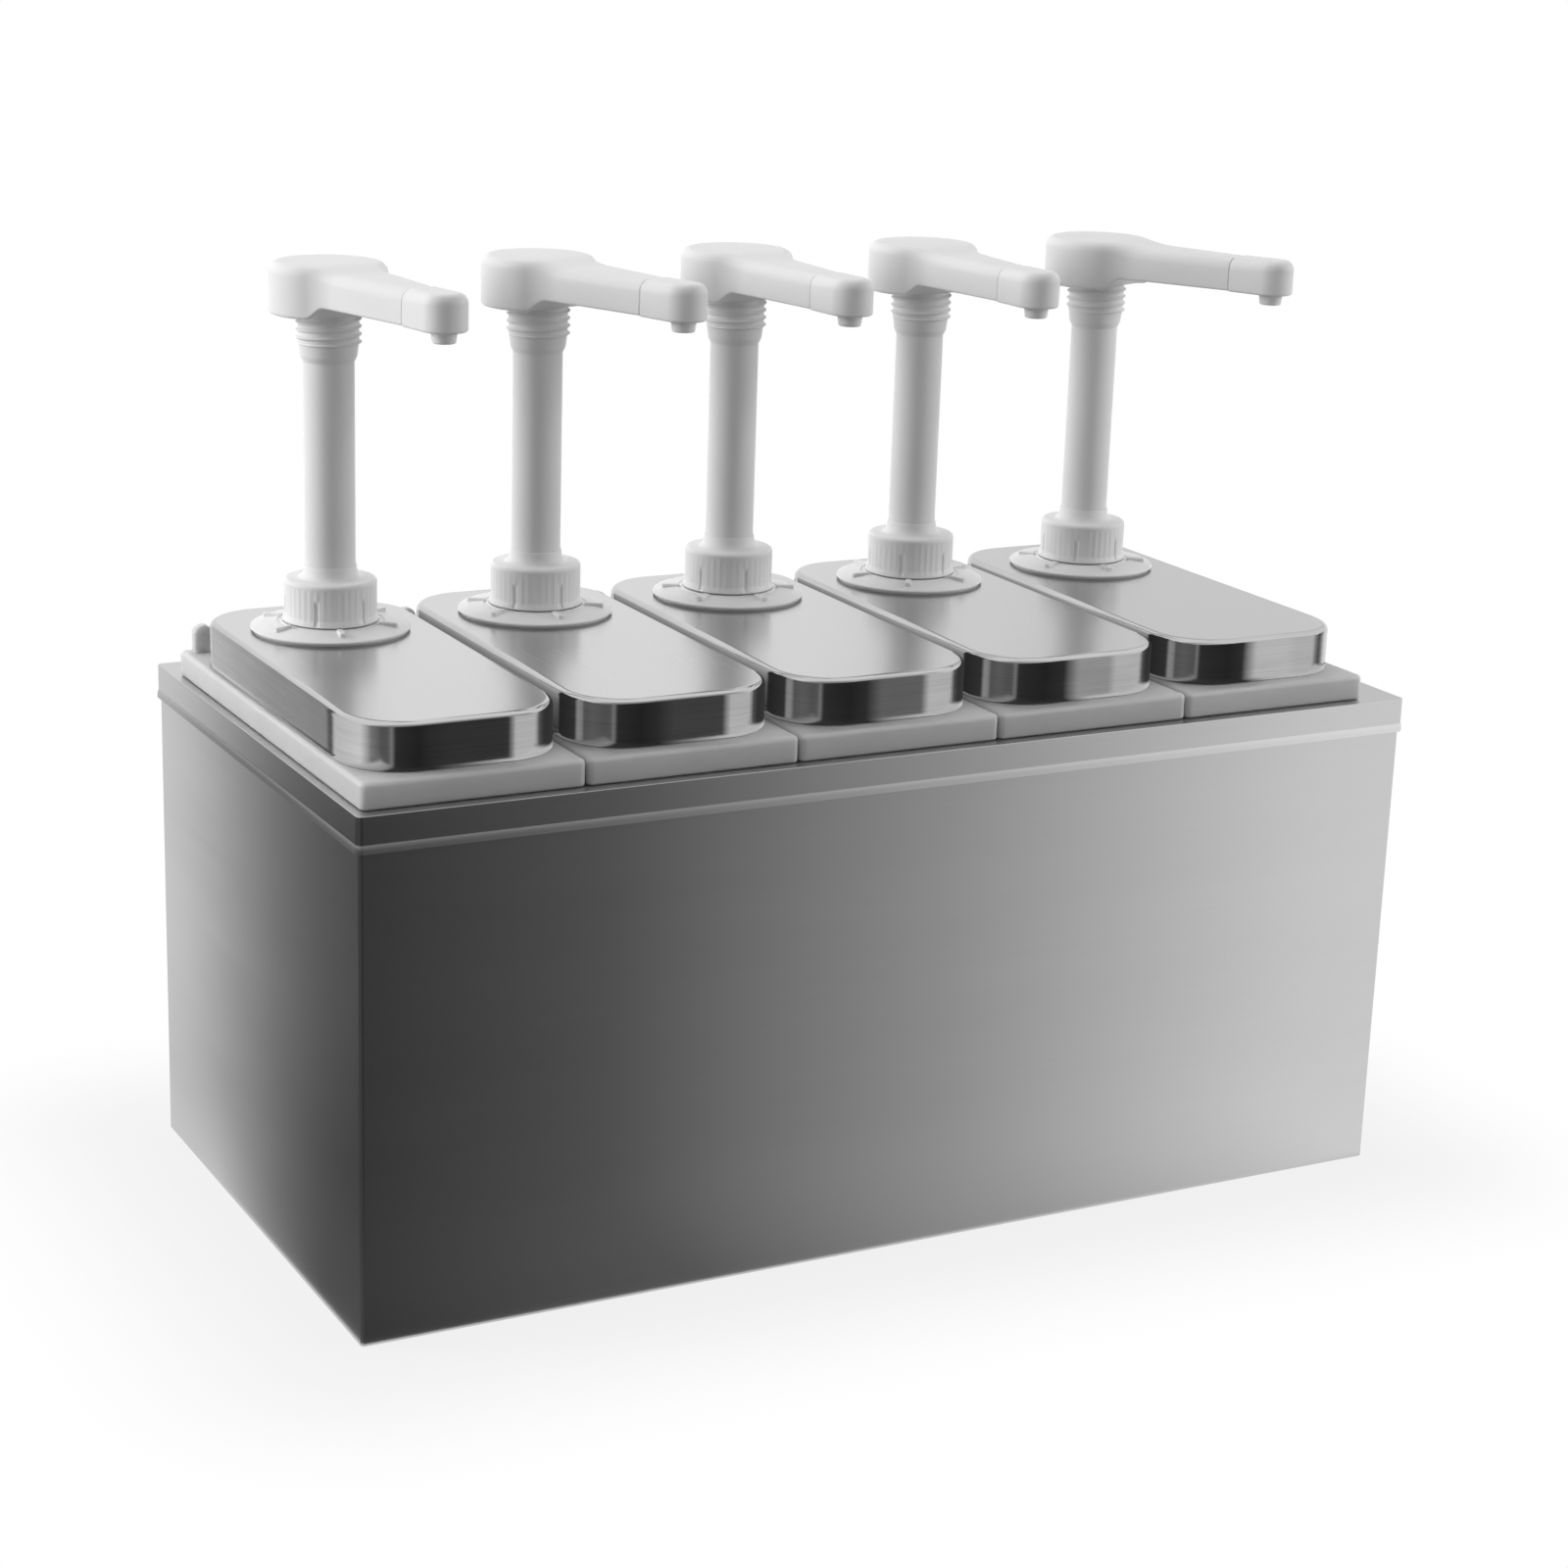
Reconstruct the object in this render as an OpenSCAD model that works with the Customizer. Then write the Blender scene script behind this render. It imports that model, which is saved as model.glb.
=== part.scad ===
// Sauce pump station: jars with pump lids hung side by side in a stainless cabinet.
// Millimetres. Origin at the middle of the underside, +Z up, spouts towards -Y.

/* [Stations] */
// Distance between neighbouring jars
jar_pitch = 100; // [96:0.5:116]
// Turn of each head at rest, from straight ahead towards +X, in degrees
head_turns = [9, 16, 4, 2, 24];
// Turn of each flange's ribs about its axis, in degrees
flange_turns = [20, 29, 38, 59, 25];
// Turn of each collar's notches, from how far it is screwed on, in degrees
collar_turns = [53, 40, 26, 49, 50];

/* [Cabinet] */
// Thickness of the cabinet's steel sheet
sheet = 1; // [0.8:0.1:1.6]
// Ledge of the top in front of the jar rims
front_ledge = 6; // [3:0.5:20]
// Ledge of the top behind the jar rims
rear_ledge = 23; // [10:1:60]
// Ledge of the top beside the first jar
left_ledge = 3.5; // [2:0.5:30]
// Ledge of the top beside the last jar
right_ledge = 20.5; // [2:0.5:40]
// Height of the top frame's skirt above its hem
skirt_h = 12; // [8:0.5:30]
// Height of the hem along the foot of the skirt
hem_h = 4; // [2:0.5:5]
// How far the hem stands out from the skirt
hem_proud = 0.6; // [0.3:0.1:1.2]
// Depth of the folded lip round the well
well_lip_h = 10; // [4:0.5:20]
// Room between the well's lip and the jars
well_room = 1.5; // [1:0.1:2.5]
// Outer radius of the cabinet's upright folds
fold_r = 2.5; // [2:0.1:6]
// Height of the base plate's upturned edge
base_edge_h = 12; // [6:0.5:25]

/* [Jar] */
// Depth of a jar's rim, front to back
rim_d = 238; // [225:1:270]
// Height of a jar's rim
rim_h = 11.5; // [8:0.1:16]
// Gap between neighbouring rims
rim_gap = 0.6; // [0.4:0.1:1.5]
// Corner radius of the rim in plan
rim_corner_r = 3; // [2.6:0.2:12]
// Rounding of the rim's upper edge
rim_edge_r = 2; // [1:0.1:2.5]
// Depth of a jar below its rim
jar_drop = 215; // [190:1:260]
// Room between a jar and the base plate
jar_room = 17; // [8:1:40]
// Wall thickness of a jar
jar_wall = 3; // [2:0.1:4]
// Height of the jar's neck above its rim
jar_neck_h = 8; // [5:0.5:14]
// Width of a lug on the rear of the rim
lug_w = 9; // [6:0.5:14]
// Thickness of a lug
lug_t = 5; // [3:0.5:7]
// Height of a lug above the rim
lug_h = 13; // [8:0.5:18]
// Distance of a lug from the rim's side and rear
lug_inset = 4.5; // [2:0.5:6]

/* [Lid] */
// Distance from the rim's front to the lid
lid_front_inset = 8.5; // [4:0.5:14]
// Distance from the rim's rear to the lid
lid_rear_inset = 15.3; // [14:0.1:24]
// Distance from the rim's side to the lid
lid_side_inset = 2.5; // [1.5:0.1:4]
// Height of the lid
lid_h = 20.8; // [16:0.1:28]
// Corner radius of the lid in plan
lid_corner_r = 27.5; // [16:0.5:36]
// Rounding of the lid's upper edge
lid_edge_r = 3; // [1.5:0.1:5]
// Thickness of the lid's steel sheet
lid_sheet = 0.8; // [0.6:0.1:1.2]
// Room between the lid's skirt and the jar's neck
lid_room = 0.5; // [0.3:0.1:1]
// Distance from the lid's rear edge to the pump's axis
pump_inset = 51.8; // [46:0.1:90]

/* [Pump mount] */
// How far the mounting flange reaches past the collar
flange_margin = 15; // [11:0.5:18]
// Thickness of the mounting flange at the collar
flange_t = 4.4; // [4:0.1:5.4]
// Thickness of the mounting flange at its edge
flange_edge_t = 3; // [2.4:0.1:3.4]
// Height of the foot under the flange, which leaves a shadow gap
flange_foot_h = 1.8; // [0.6:0.1:2]
// Undercut of the flange's foot
flange_foot_inset = 2.2; // [1:0.1:4]
// Number of ribs that run outwards on the flange
flange_ribs = 6; // [3:1:12]
// Width of a flange rib
flange_rib_w = 3; // [2:0.2:5]
// Height of the flange ribs above the flange's highest part
flange_rib_h = 1; // [0.4:0.1:1.2]
// Distance from the end of a flange rib to the flange's edge
flange_rib_inset = 4; // [2:0.5:5]
// Length of the flange's spigot below the lid's top face
spigot_l = 4; // [3:0.5:8]
// Height of the screwed neck above the flange
neck_h = 12.5; // [10:0.1:20]
// Wall thickness of the screwed neck
neck_wall = 1.9; // [1.5:0.1:3]

/* [Collar] */
// Gap between the collar's foot and the flange
collar_gap = 0.6; // [0.2:0.1:1.2]
// Wall thickness of the collar
collar_wall = 2.8; // [2:0.1:4]
// Thickness of the collar's top
collar_top_t = 4.9; // [4:0.1:8]
// Rounding of the collar's shoulder
collar_edge_r = 2.5; // [1:0.1:3.5]
// How far the collar's foot flares out
collar_flare = 0.8; // [0.3:0.1:1.5]
// Height of the collar's flared foot
collar_flare_h = 3; // [2:0.5:6]
// Number of upright notches round the collar
notch_count = 6; // [3:1:12]
// Width of a notch
notch_w = 1.8; // [1:0.1:3]
// Depth of a notch
notch_depth = 0.9; // [0.4:0.1:1.2]
// Height of a notch
notch_h = 10; // [5:0.5:13]
// Height of the wiper lip round the riser
wiper_h = 6; // [3:0.5:7]
// Thickness of the wiper lip at its foot
wiper_foot_t = 2.6; // [1.5:0.1:3]

/* [Riser] */
// Outer diameter of the riser
riser_d = 22.6; // [20:0.2:25]
// Bore of the riser
riser_bore = 15; // [11:0.5:15]
// Height that the pump travels
stroke_h = 90; // [60:1:95]
// Riser left showing between lock cone and collar at full travel
lock_room = 7.1; // [7.1:0.1:20]
// Height of the cone under the plain band
cone_h = 3; // [2:0.5:6]
// Height of the plain band between the cone and the lock thread
band_h = 4.4; // [2:0.2:8]
// Height of the plain band above the riser's surface
band_rise = 1.7; // [1:0.1:2]
// Height of one turn of the lock thread
thread_pitch = 3.4; // [2.5:0.1:4]
// Number of turns in the lock thread
thread_turns = 4; // [3:1:6]
// Height of the lock thread's root above the riser's surface
thread_root = 2.3; // [1.5:0.1:3]
// Height of the lock thread's crest above its root
thread_crest = 0.9; // [0.5:0.1:1.2]

/* [Head] */
// Diameter of the hub
hub_d = 52; // [46:0.5:56]
// Height of the hub
hub_h = 22.8; // [20:0.2:28]
// Rounding of the hub's upper edge
hub_edge_r = 4; // [2:0.5:6]
// Rounding of the hub's lower edge
hub_foot_r = 1.5; // [0.5:0.1:3]
// Distance from the riser's axis to the outlet
spout_reach = 98; // [92:1:105]
// Width of the spout where it meets the nozzle
spout_w = 19.6; // [18.4:0.2:22]
// Width of the spout at its root in the hub
spout_root_w = 34; // [26:0.5:36]
// Height of the spout
spout_h = 15.6; // [14:0.2:17]
// Drop of the spout's top below the hub's top
spout_drop = 1.6; // [0.4:0.1:2]
// Rounding of the spout's upper edges
spout_edge_r = 5; // [3:0.5:6]
// Diameter of the sauce channel in the spout
channel_d = 8; // [6:0.5:9]
// Depth of the riser's socket in the hub
socket_depth = 8; // [6:0.5:8]

/* [Nozzle] */
// Distance from the seam to the outlet's axis
tip_l = 18; // [14:0.5:30]
// How far the nozzle stands out round the spout
tip_proud = 0.3; // [0.1:0.1:1.2]
// Outer diameter of the outlet
outlet_d = 11; // [9:0.5:13]
// Bore of the outlet
outlet_bore = 7; // [5:0.5:7.5]
// Length of the outlet below the nozzle
outlet_l = 5; // [3:0.5:9]
// Length of the plug that joins the nozzle to the spout
plug_l = 10; // [6:0.5:14]

/* [Pump inside] */
// Room between the riser and the barrel's bore
barrel_room = 1.7; // [1.2:0.1:3]
// Wall thickness of the barrel
barrel_wall = 2.5; // [1.8:0.1:3]
// Thickness of the barrel's flange and floor
barrel_floor_t = 2; // [1.5:0.1:3]
// Height of the piston
piston_h = 20; // [19:0.5:24]
// Height of each of the piston's sealing lips
piston_lip_h = 3; // [2:0.5:4]
// Depth of the piston's socket for the riser
piston_socket = 8; // [6:0.5:8.5]
// Wire diameter of the return spring
wire_d = 1.6; // [1.2:0.1:2]
// Number of curls in the return spring
spring_curls = 8; // [6:1:9]
// Outer diameter of the suction tube
tube_d = 14; // [12.5:0.5:16]
// Bore of the suction tube
tube_bore = 8; // [6:0.5:8]
// Length of the suction tube held in the barrel's socket
tube_hold = 12; // [10.5:0.5:16]
// Room between the suction tube and the jar's floor
tube_room = 8; // [5:0.5:20]
// Diameter of the valve balls
ball_d = 9; // [8.8:0.1:10]

/* [Fits] */
// Gap between a loose piece and its seat
seat_gap = 0.3; // [0.2:0.05:0.4]
// Radial gap of pieces that slide or turn in each other
run_gap = 0.08; // [0.04:0.01:0.1]
// Gap between pieces that are fixed to each other
fix_gap = 0.1; // [0.05:0.01:0.15]

/* [Hidden] */
$fn = 96;
eps = 0.01;

stations = len(head_turns);
ids = [for (i = [1:stations]) i];
function names(base) = [for (i = ids) str(base, "_", i)];

steel = "silver";
jar_white = "whitesmoke";
pump_white = "white";

// Plan of the cabinet and of the row of jars
cabinet_w = left_ledge + stations * jar_pitch + right_ledge;
cabinet_d = front_ledge + rim_d + rear_ledge;
rim_w = jar_pitch - rim_gap;
rim_y = front_ledge + rim_d / 2 - cabinet_d / 2;
function station_x(i) = left_ledge + (i - 0.5) * jar_pitch - cabinet_w / 2;
function turn_of(turns, i) = turns[(i - 1) % len(turns)];
row_x = station_x((stations + 1) / 2);
lid_w = rim_w - 2 * lid_side_inset;
lid_d = rim_d - lid_front_inset - lid_rear_inset;
lid_y = rim_y + (lid_front_inset - lid_rear_inset) / 2;
neck_step = lid_sheet + lid_room;
jar_w = lid_w - 2 * neck_step;
jar_d = lid_d - 2 * neck_step;
jar_corner_r = lid_corner_r - neck_step;
well_w = (stations - 1) * jar_pitch + jar_w + 2 * well_room;
well_d = jar_d + 2 * well_room;
pump_y = lid_y + lid_d / 2 - pump_inset;

// Levels, from the table upwards
cabinet_h = sheet + jar_room + jar_drop;
rim_z = cabinet_h + seat_gap;
jar_z = rim_z - jar_drop;
jar_floor_z = jar_z + jar_wall;
rim_top_z = rim_z + rim_h;
lid_z = rim_top_z + seat_gap;
lid_top_z = lid_z + lid_h;
flange_top_z = lid_top_z + flange_t;
neck_top_z = flange_top_z + neck_h;
barrel_top_z = neck_top_z + fix_gap + barrel_floor_t;
collar_in_z = barrel_top_z + fix_gap;
collar_top_z = collar_in_z + collar_top_t;
collar_z = flange_top_z + collar_gap;
cone_z = collar_top_z + stroke_h + lock_room;
band_z = cone_z + cone_h;
thread_z = band_z + band_h;
hub_z = thread_z + thread_turns * thread_pitch;
hub_top_z = hub_z + hub_h;
spout_top_z = hub_top_z - spout_drop;
spout_z = spout_top_z - spout_h;
channel_z = spout_z + spout_h / 2;

// Radii of the pump, from the riser outwards
riser_r = riser_d / 2;
bore_r = riser_r + barrel_room;
barrel_r = bore_r + barrel_wall;
neck_bore_r = barrel_r + seat_gap;
neck_r = neck_bore_r + neck_wall;
cavity_r = neck_r + seat_gap;
collar_r = cavity_r + collar_wall;
flange_r = collar_r + flange_margin;
spigot_r = neck_r + neck_wall;
lid_hole_r = spigot_r + fix_gap;
guide_r = riser_r + run_gap;
stem_r = riser_r - 2.2;
rib_in_r = collar_r + collar_flare + collar_gap;
rib_l = flange_r - flange_rib_inset - rib_in_r;

// Lengths inside the pump
piston_top_z = collar_in_z - seat_gap;
piston_z = piston_top_z - piston_h;
socket_z = piston_top_z - piston_socket;
spring_closed = (spring_curls + 1.5) * wire_d;
barrel_floor_z = piston_z - stroke_h - spring_closed - 2 * seat_gap;
barrel_z = barrel_floor_z - barrel_floor_t;
tube_r = tube_d / 2;
tube_socket_r = tube_r + fix_gap;
tube_top_z = barrel_z - fix_gap;
tube_z = jar_floor_z + tube_room;
spring_r = bore_r - wire_d - 0.6;
valve_r = ball_d / 2 - 0.9;
cage_r = ball_d / 2 + 0.4;
inlet_seat_z = tube_top_z - ball_d - 1;
outlet_seat_z = socket_z - ball_d - 1;
function seat_lift(r) = sqrt(pow(ball_d / 2, 2) - r * r) + seat_gap;

// A rectangle with round corners, centred
module round_rect(w, d, r) {
    square([w - 2 * r, d], center = true);
    square([w, d - 2 * r], center = true);
    for (sx = [-1, 1], sy = [-1, 1])
        translate([sx * (w / 2 - r), sy * (d / 2 - r)])
            circle(r);
}

// Half of a block's cross section, with its upper edge rounded
module edge_profile(half_w, h, e) {
    square([half_w, h - e]);
    square([half_w - e, h]);
    translate([half_w - e, h - e])
        intersection() {
            circle(e);
            square(e);
        }
}

// A block with round upright corners and a rounded upper edge
module round_block(w, d, h, r, e) {
    for (sx = [-1, 1], sy = [-1, 1])
        translate([sx * (w / 2 - r), sy * (d / 2 - r)])
            rotate_extrude()
                edge_profile(r, h, e);
    for (size = [[w, d - 2 * r, 0], [d, w - 2 * r, 90]])
        rotate([90, 0, size[2]])
            translate([0, 0, -size[1] / 2])
                linear_extrude(size[1]) {
                    edge_profile(size[0] / 2, h, e);
                    mirror([1, 0])
                        edge_profile(size[0] / 2, h, e);
                }
}

// A plain hole between two levels
module hole(r, z0, z1) {
    translate([0, 0, z0 - eps])
        cylinder(r = r, h = z1 - z0 + 2 * eps);
}

// Places a station's pump pieces on its axis
module at_pump(i) {
    translate([station_x(i), pump_y, 0])
        children();
}

module cabinet_shell() {
    wall_w = cabinet_w - 2 * (sheet + fix_gap);
    wall_d = cabinet_d - 2 * (sheet + fix_gap);
    wall_r = fold_r - sheet;
    color(steel)
        linear_extrude(cabinet_h - sheet - fix_gap)
            difference() {
                round_rect(wall_w, wall_d, wall_r);
                round_rect(wall_w - 2 * sheet, wall_d - 2 * sheet, max(wall_r - sheet, 0.2));
            }
}

module well_plan(grow) {
    translate([row_x, lid_y])
        square([well_w + 2 * grow, well_d + 2 * grow], center = true);
}

module top_frame() {
    color(steel) {
        translate([0, 0, cabinet_h - sheet])
            linear_extrude(sheet)
                difference() {
                    round_rect(cabinet_w, cabinet_d, fold_r);
                    well_plan(0);
                }
        translate([0, 0, cabinet_h - skirt_h - hem_h])
            linear_extrude(skirt_h + hem_h - sheet)
                difference() {
                    round_rect(cabinet_w, cabinet_d, fold_r);
                    round_rect(cabinet_w - 2 * sheet, cabinet_d - 2 * sheet, fold_r - sheet);
                }
        translate([0, 0, cabinet_h - skirt_h - hem_h])
            linear_extrude(hem_h)
                difference() {
                    round_rect(cabinet_w + 2 * hem_proud, cabinet_d + 2 * hem_proud, fold_r + hem_proud);
                    round_rect(cabinet_w - sheet, cabinet_d - sheet, fold_r - sheet / 2);
                }
        translate([0, 0, cabinet_h - well_lip_h])
            linear_extrude(well_lip_h - sheet)
                difference() {
                    well_plan(sheet);
                    well_plan(0);
                }
    }
}

module base_plate() {
    edge_w = cabinet_w - 2 * (2 * sheet + 2 * fix_gap);
    edge_d = cabinet_d - 2 * (2 * sheet + 2 * fix_gap);
    color(steel)
        difference() {
            linear_extrude(base_edge_h)
                square([edge_w, edge_d], center = true);
            translate([0, 0, sheet])
                linear_extrude(base_edge_h)
                    square([edge_w - 2 * sheet, edge_d - 2 * sheet], center = true);
        }
}

// An upright lug with a round top
module lug() {
    rotate([90, 0, 0])
        linear_extrude(lug_t) {
            translate([-lug_w / 2, -1])
                square([lug_w, lug_h - lug_w / 2 + 1]);
            translate([0, lug_h - lug_w / 2])
                circle(lug_w / 2);
        }
}

module jar(i) {
    lug_x = rim_w / 2 - lug_inset - lug_w / 2;
    inside_w = jar_w - 2 * jar_wall;
    inside_d = jar_d - 2 * jar_wall;
    color(jar_white)
        translate([station_x(i), 0, 0]) {
            difference() {
                union() {
                    translate([0, rim_y, rim_z])
                        round_block(rim_w, rim_d, rim_h, rim_corner_r, rim_edge_r);
                    translate([0, lid_y, jar_z])
                        linear_extrude(jar_drop + rim_h + jar_neck_h)
                            round_rect(jar_w, jar_d, jar_corner_r);
                }
                translate([0, lid_y, jar_floor_z])
                    linear_extrude(jar_drop + rim_h + jar_neck_h)
                        round_rect(inside_w, inside_d, jar_corner_r - jar_wall);
            }
            for (side = [-1, 1])
                translate([side * lug_x, rim_y + rim_d / 2 - lug_inset, rim_top_z])
                    lug();
        }
}

module lid(i) {
    inside_w = lid_w - 2 * lid_sheet;
    inside_d = lid_d - 2 * lid_sheet;
    inside_r = lid_corner_r - lid_sheet;
    inside_edge_r = lid_edge_r - lid_sheet;
    color(steel)
        difference() {
            translate([station_x(i), lid_y, lid_z])
                difference() {
                    round_block(lid_w, lid_d, lid_h, lid_corner_r, lid_edge_r);
                    translate([0, 0, -lid_sheet])
                        round_block(inside_w, inside_d, lid_h, inside_r, inside_edge_r);
                }
            at_pump(i)
                hole(lid_hole_r, lid_z, lid_top_z);
        }
}

module mount_flange(i) {
    foot_r = flange_r - flange_foot_inset;
    slope_low_r = flange_r - flange_edge_t / 2;
    slope_top_r = collar_r + collar_wall;
    slope_h = flange_t - flange_edge_t;
    rib_z = lid_top_z + (flange_foot_h + flange_edge_t) / 2;
    snap_z = lid_top_z - lid_sheet - seat_gap;
    snap_h = spigot_l - lid_sheet - seat_gap;
    color(pump_white)
        at_pump(i)
            difference() {
                union() {
                    translate([0, 0, lid_top_z])
                        cylinder(r = foot_r, h = flange_foot_h + eps);
                    translate([0, 0, lid_top_z + flange_foot_h])
                        cylinder(r = flange_r, h = flange_edge_t - flange_foot_h);
                    translate([0, 0, lid_top_z + flange_edge_t - eps])
                        cylinder(r1 = slope_low_r, r2 = slope_top_r, h = slope_h + eps);
                    translate([0, 0, lid_top_z - spigot_l])
                        cylinder(r = spigot_r, h = spigot_l + eps);
                    translate([0, 0, flange_top_z - eps])
                        cylinder(r = neck_r, h = neck_h + eps);
                    for (k = [0:flange_ribs - 1])
                        rotate([0, 0, k * 360 / flange_ribs + turn_of(flange_turns, i)])
                            translate([rib_in_r, -flange_rib_w / 2, rib_z])
                                cube([rib_l, flange_rib_w, flange_top_z + flange_rib_h - rib_z]);
                    for (turn = [0:90:270])
                        rotate([0, 0, turn])
                            translate([0, 0, snap_z - snap_h])
                                rotate_extrude(angle = 30)
                                    translate([spigot_r - 0.5, 0])
                                        square([1.4, snap_h]);
                }
                hole(neck_bore_r, lid_top_z - spigot_l, neck_top_z);
            }
}

module collar(i) {
    color(pump_white)
        at_pump(i)
            difference() {
                union() {
                    translate([0, 0, collar_z])
                        rotate_extrude()
                            edge_profile(collar_r, collar_top_z - collar_z, collar_edge_r);
                    translate([0, 0, collar_z])
                        cylinder(r1 = collar_r + collar_flare, r2 = collar_r, h = collar_flare_h);
                    translate([0, 0, collar_top_z - eps])
                        cylinder(r1 = guide_r + wiper_foot_t, r2 = guide_r + 0.6, h = wiper_h);
                }
                hole(cavity_r, collar_z, collar_in_z - eps);
                hole(guide_r, collar_in_z - 2 * eps, collar_top_z + wiper_h);
                for (k = [0:notch_count - 1])
                    rotate([0, 0, k * 360 / notch_count + turn_of(collar_turns, i)])
                        translate([collar_r - notch_depth, -notch_w / 2, collar_z + 1])
                            cube([notch_depth + collar_flare + 1, notch_w, notch_h]);
            }
}

module barrel(i) {
    color(pump_white)
        at_pump(i)
            difference() {
                union() {
                    translate([0, 0, barrel_z])
                        cylinder(r = barrel_r, h = barrel_top_z - barrel_z);
                    translate([0, 0, neck_top_z + fix_gap])
                        cylinder(r = neck_r, h = barrel_floor_t);
                    translate([0, 0, barrel_z - tube_hold])
                        cylinder(r = tube_socket_r + barrel_wall, h = tube_hold + eps);
                }
                hole(bore_r, barrel_floor_z + eps, barrel_top_z);
                hole(valve_r, barrel_z - 1, barrel_floor_z + 1);
                hole(tube_socket_r, barrel_z - tube_hold, barrel_z - eps);
            }
}

module suction_foot(i) {
    shoulder_z = barrel_z - tube_hold - seat_gap;
    color(pump_white)
        at_pump(i) {
            difference() {
                union() {
                    translate([0, 0, tube_z])
                        cylinder(r = tube_r, h = tube_top_z - tube_z);
                    translate([0, 0, shoulder_z - 3])
                        cylinder(r = tube_r + 2, h = 3);
                }
                hole(tube_bore / 2, tube_z, tube_top_z);
                translate([0, 0, inlet_seat_z])
                    cylinder(r1 = tube_bore / 2, r2 = cage_r, h = 2);
                hole(cage_r, inlet_seat_z + 2, tube_top_z);
                translate([0, 0, tube_z])
                    rotate([90, 0, 0])
                        cylinder(d = tube_bore, h = 4 * tube_r, center = true);
            }
            translate([0, 0, inlet_seat_z + seat_lift(tube_bore / 2)])
                sphere(d = ball_d);
        }
}

// Points of a ring of the wire, square to the helix
function wire_ring(a, z, sides) =
    [for (s = [0:sides - 1])
        let (t = s * 360 / sides, r = spring_r + wire_d / 2 * cos(t))
            [r * cos(a), r * sin(a), z + wire_d / 2 * sin(t)]];

module spring(i) {
    sides = 6;
    rings_per_curl = 8;
    rings = spring_curls * rings_per_curl;
    z0 = barrel_floor_z + seat_gap + wire_d / 2;
    z1 = piston_z - seat_gap - wire_d / 2;
    points = [for (k = [0:rings])
        each wire_ring(k * 360 / rings_per_curl, z0 + (z1 - z0) * k / rings, sides)];
    side_faces = [for (k = [0:rings - 1], s = [0:sides - 1])
        let (a = k * sides + s, b = k * sides + (s + 1) % sides)
            each [[a, a + sides, b], [b, a + sides, b + sides]]];
    first_end = [for (s = [1:sides - 2]) [0, s, s + 1]];
    last = rings * sides;
    last_end = [for (s = [1:sides - 2]) [last, last + s + 1, last + s]];
    color(steel)
        at_pump(i)
            polyhedron(points, concat(side_faces, first_end, last_end));
}

module piston(i) {
    lip_r = bore_r - run_gap;
    waist_r = lip_r - 1.2;
    color(pump_white)
        at_pump(i) {
            difference() {
                union() {
                    translate([0, 0, piston_z])
                        cylinder(r = waist_r, h = piston_h);
                    for (z = [piston_z, piston_top_z - piston_lip_h])
                        translate([0, 0, z])
                            cylinder(r = lip_r, h = piston_lip_h);
                }
                hole(stem_r + run_gap, socket_z, piston_top_z);
                hole(valve_r, piston_z, socket_z);
                translate([0, 0, outlet_seat_z])
                    cylinder(r1 = valve_r, r2 = cage_r, h = 2);
                hole(cage_r, outlet_seat_z + 2, socket_z);
            }
            translate([0, 0, outlet_seat_z + seat_lift(valve_r)])
                sphere(d = ball_d);
        }
}

// Outline of the riser from its stem to the head, as radius and height
function riser_outline() = concat(
    [[0, socket_z + seat_gap], [stem_r, socket_z + seat_gap], [stem_r, piston_top_z + seat_gap]],
    [[riser_r, piston_top_z + seat_gap], [riser_r, cone_z], [riser_r + band_rise, band_z]],
    [[riser_r + band_rise, thread_z], [riser_r + thread_root, thread_z]],
    [for (k = [0:thread_turns - 1], p = [[0.2, 0], [0.4, 1], [0.6, 1], [0.8, 0]])
        [riser_r + thread_root + p[1] * thread_crest, thread_z + (k + p[0]) * thread_pitch]],
    [[riser_r + thread_root, hub_z - seat_gap], [riser_r, hub_z - seat_gap]],
    [[riser_r, hub_z + socket_depth - seat_gap], [0, hub_z + socket_depth - seat_gap]]);

module riser(i) {
    bar_w = 2;
    color(pump_white)
        at_pump(i) {
            difference() {
                rotate_extrude()
                    polygon(riser_outline());
                hole(riser_bore / 2, socket_z, hub_z + socket_depth);
            }
            translate([-riser_bore / 2 - 0.5, -bar_w / 2, socket_z + seat_gap])
                cube([riser_bore + 1, bar_w, bar_w]);
        }
}

// One side of the tapering spout, as a bar along the spout's outer edge
module spout_side(seam) {
    bar_w = (spout_root_w / 2 + spout_w) / 2;
    root_y = -hub_d / 6;
    taper = atan((spout_root_w - spout_w) / 2 / (seam + root_y));
    translate([spout_root_w / 2, root_y, spout_z])
        rotate([0, 0, -taper])
            translate([-bar_w, 0, 0])
                rotate([90, 0, 0])
                    linear_extrude(seam + 10)
                        edge_profile(bar_w, spout_h, spout_edge_r);
}

module head(i) {
    seam = spout_reach - tip_l;
    color(pump_white)
        at_pump(i)
            rotate([0, 0, head_turns[i - 1]])
                difference() {
                    union() {
                        translate([0, 0, hub_z + hub_foot_r])
                            rotate_extrude()
                                edge_profile(hub_d / 2, hub_h - hub_foot_r, hub_edge_r);
                        translate([0, 0, hub_z])
                            cylinder(r1 = hub_d / 2 - hub_foot_r, r2 = hub_d / 2, h = hub_foot_r + eps);
                        difference() {
                            union() {
                                spout_side(seam);
                                mirror([1, 0, 0])
                                    spout_side(seam);
                            }
                            translate([-hub_d, -seam - hub_d, spout_z - 1])
                                cube([2 * hub_d, hub_d, spout_h + 2]);
                        }
                    }
                    hole(riser_r + fix_gap, hub_z, hub_z + socket_depth);
                    hole(channel_d / 2 + 1, hub_z, channel_z);
                    translate([0, 0, channel_z])
                        rotate([90, 0, 0])
                            cylinder(d = channel_d, h = seam + 1);
                }
}

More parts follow.
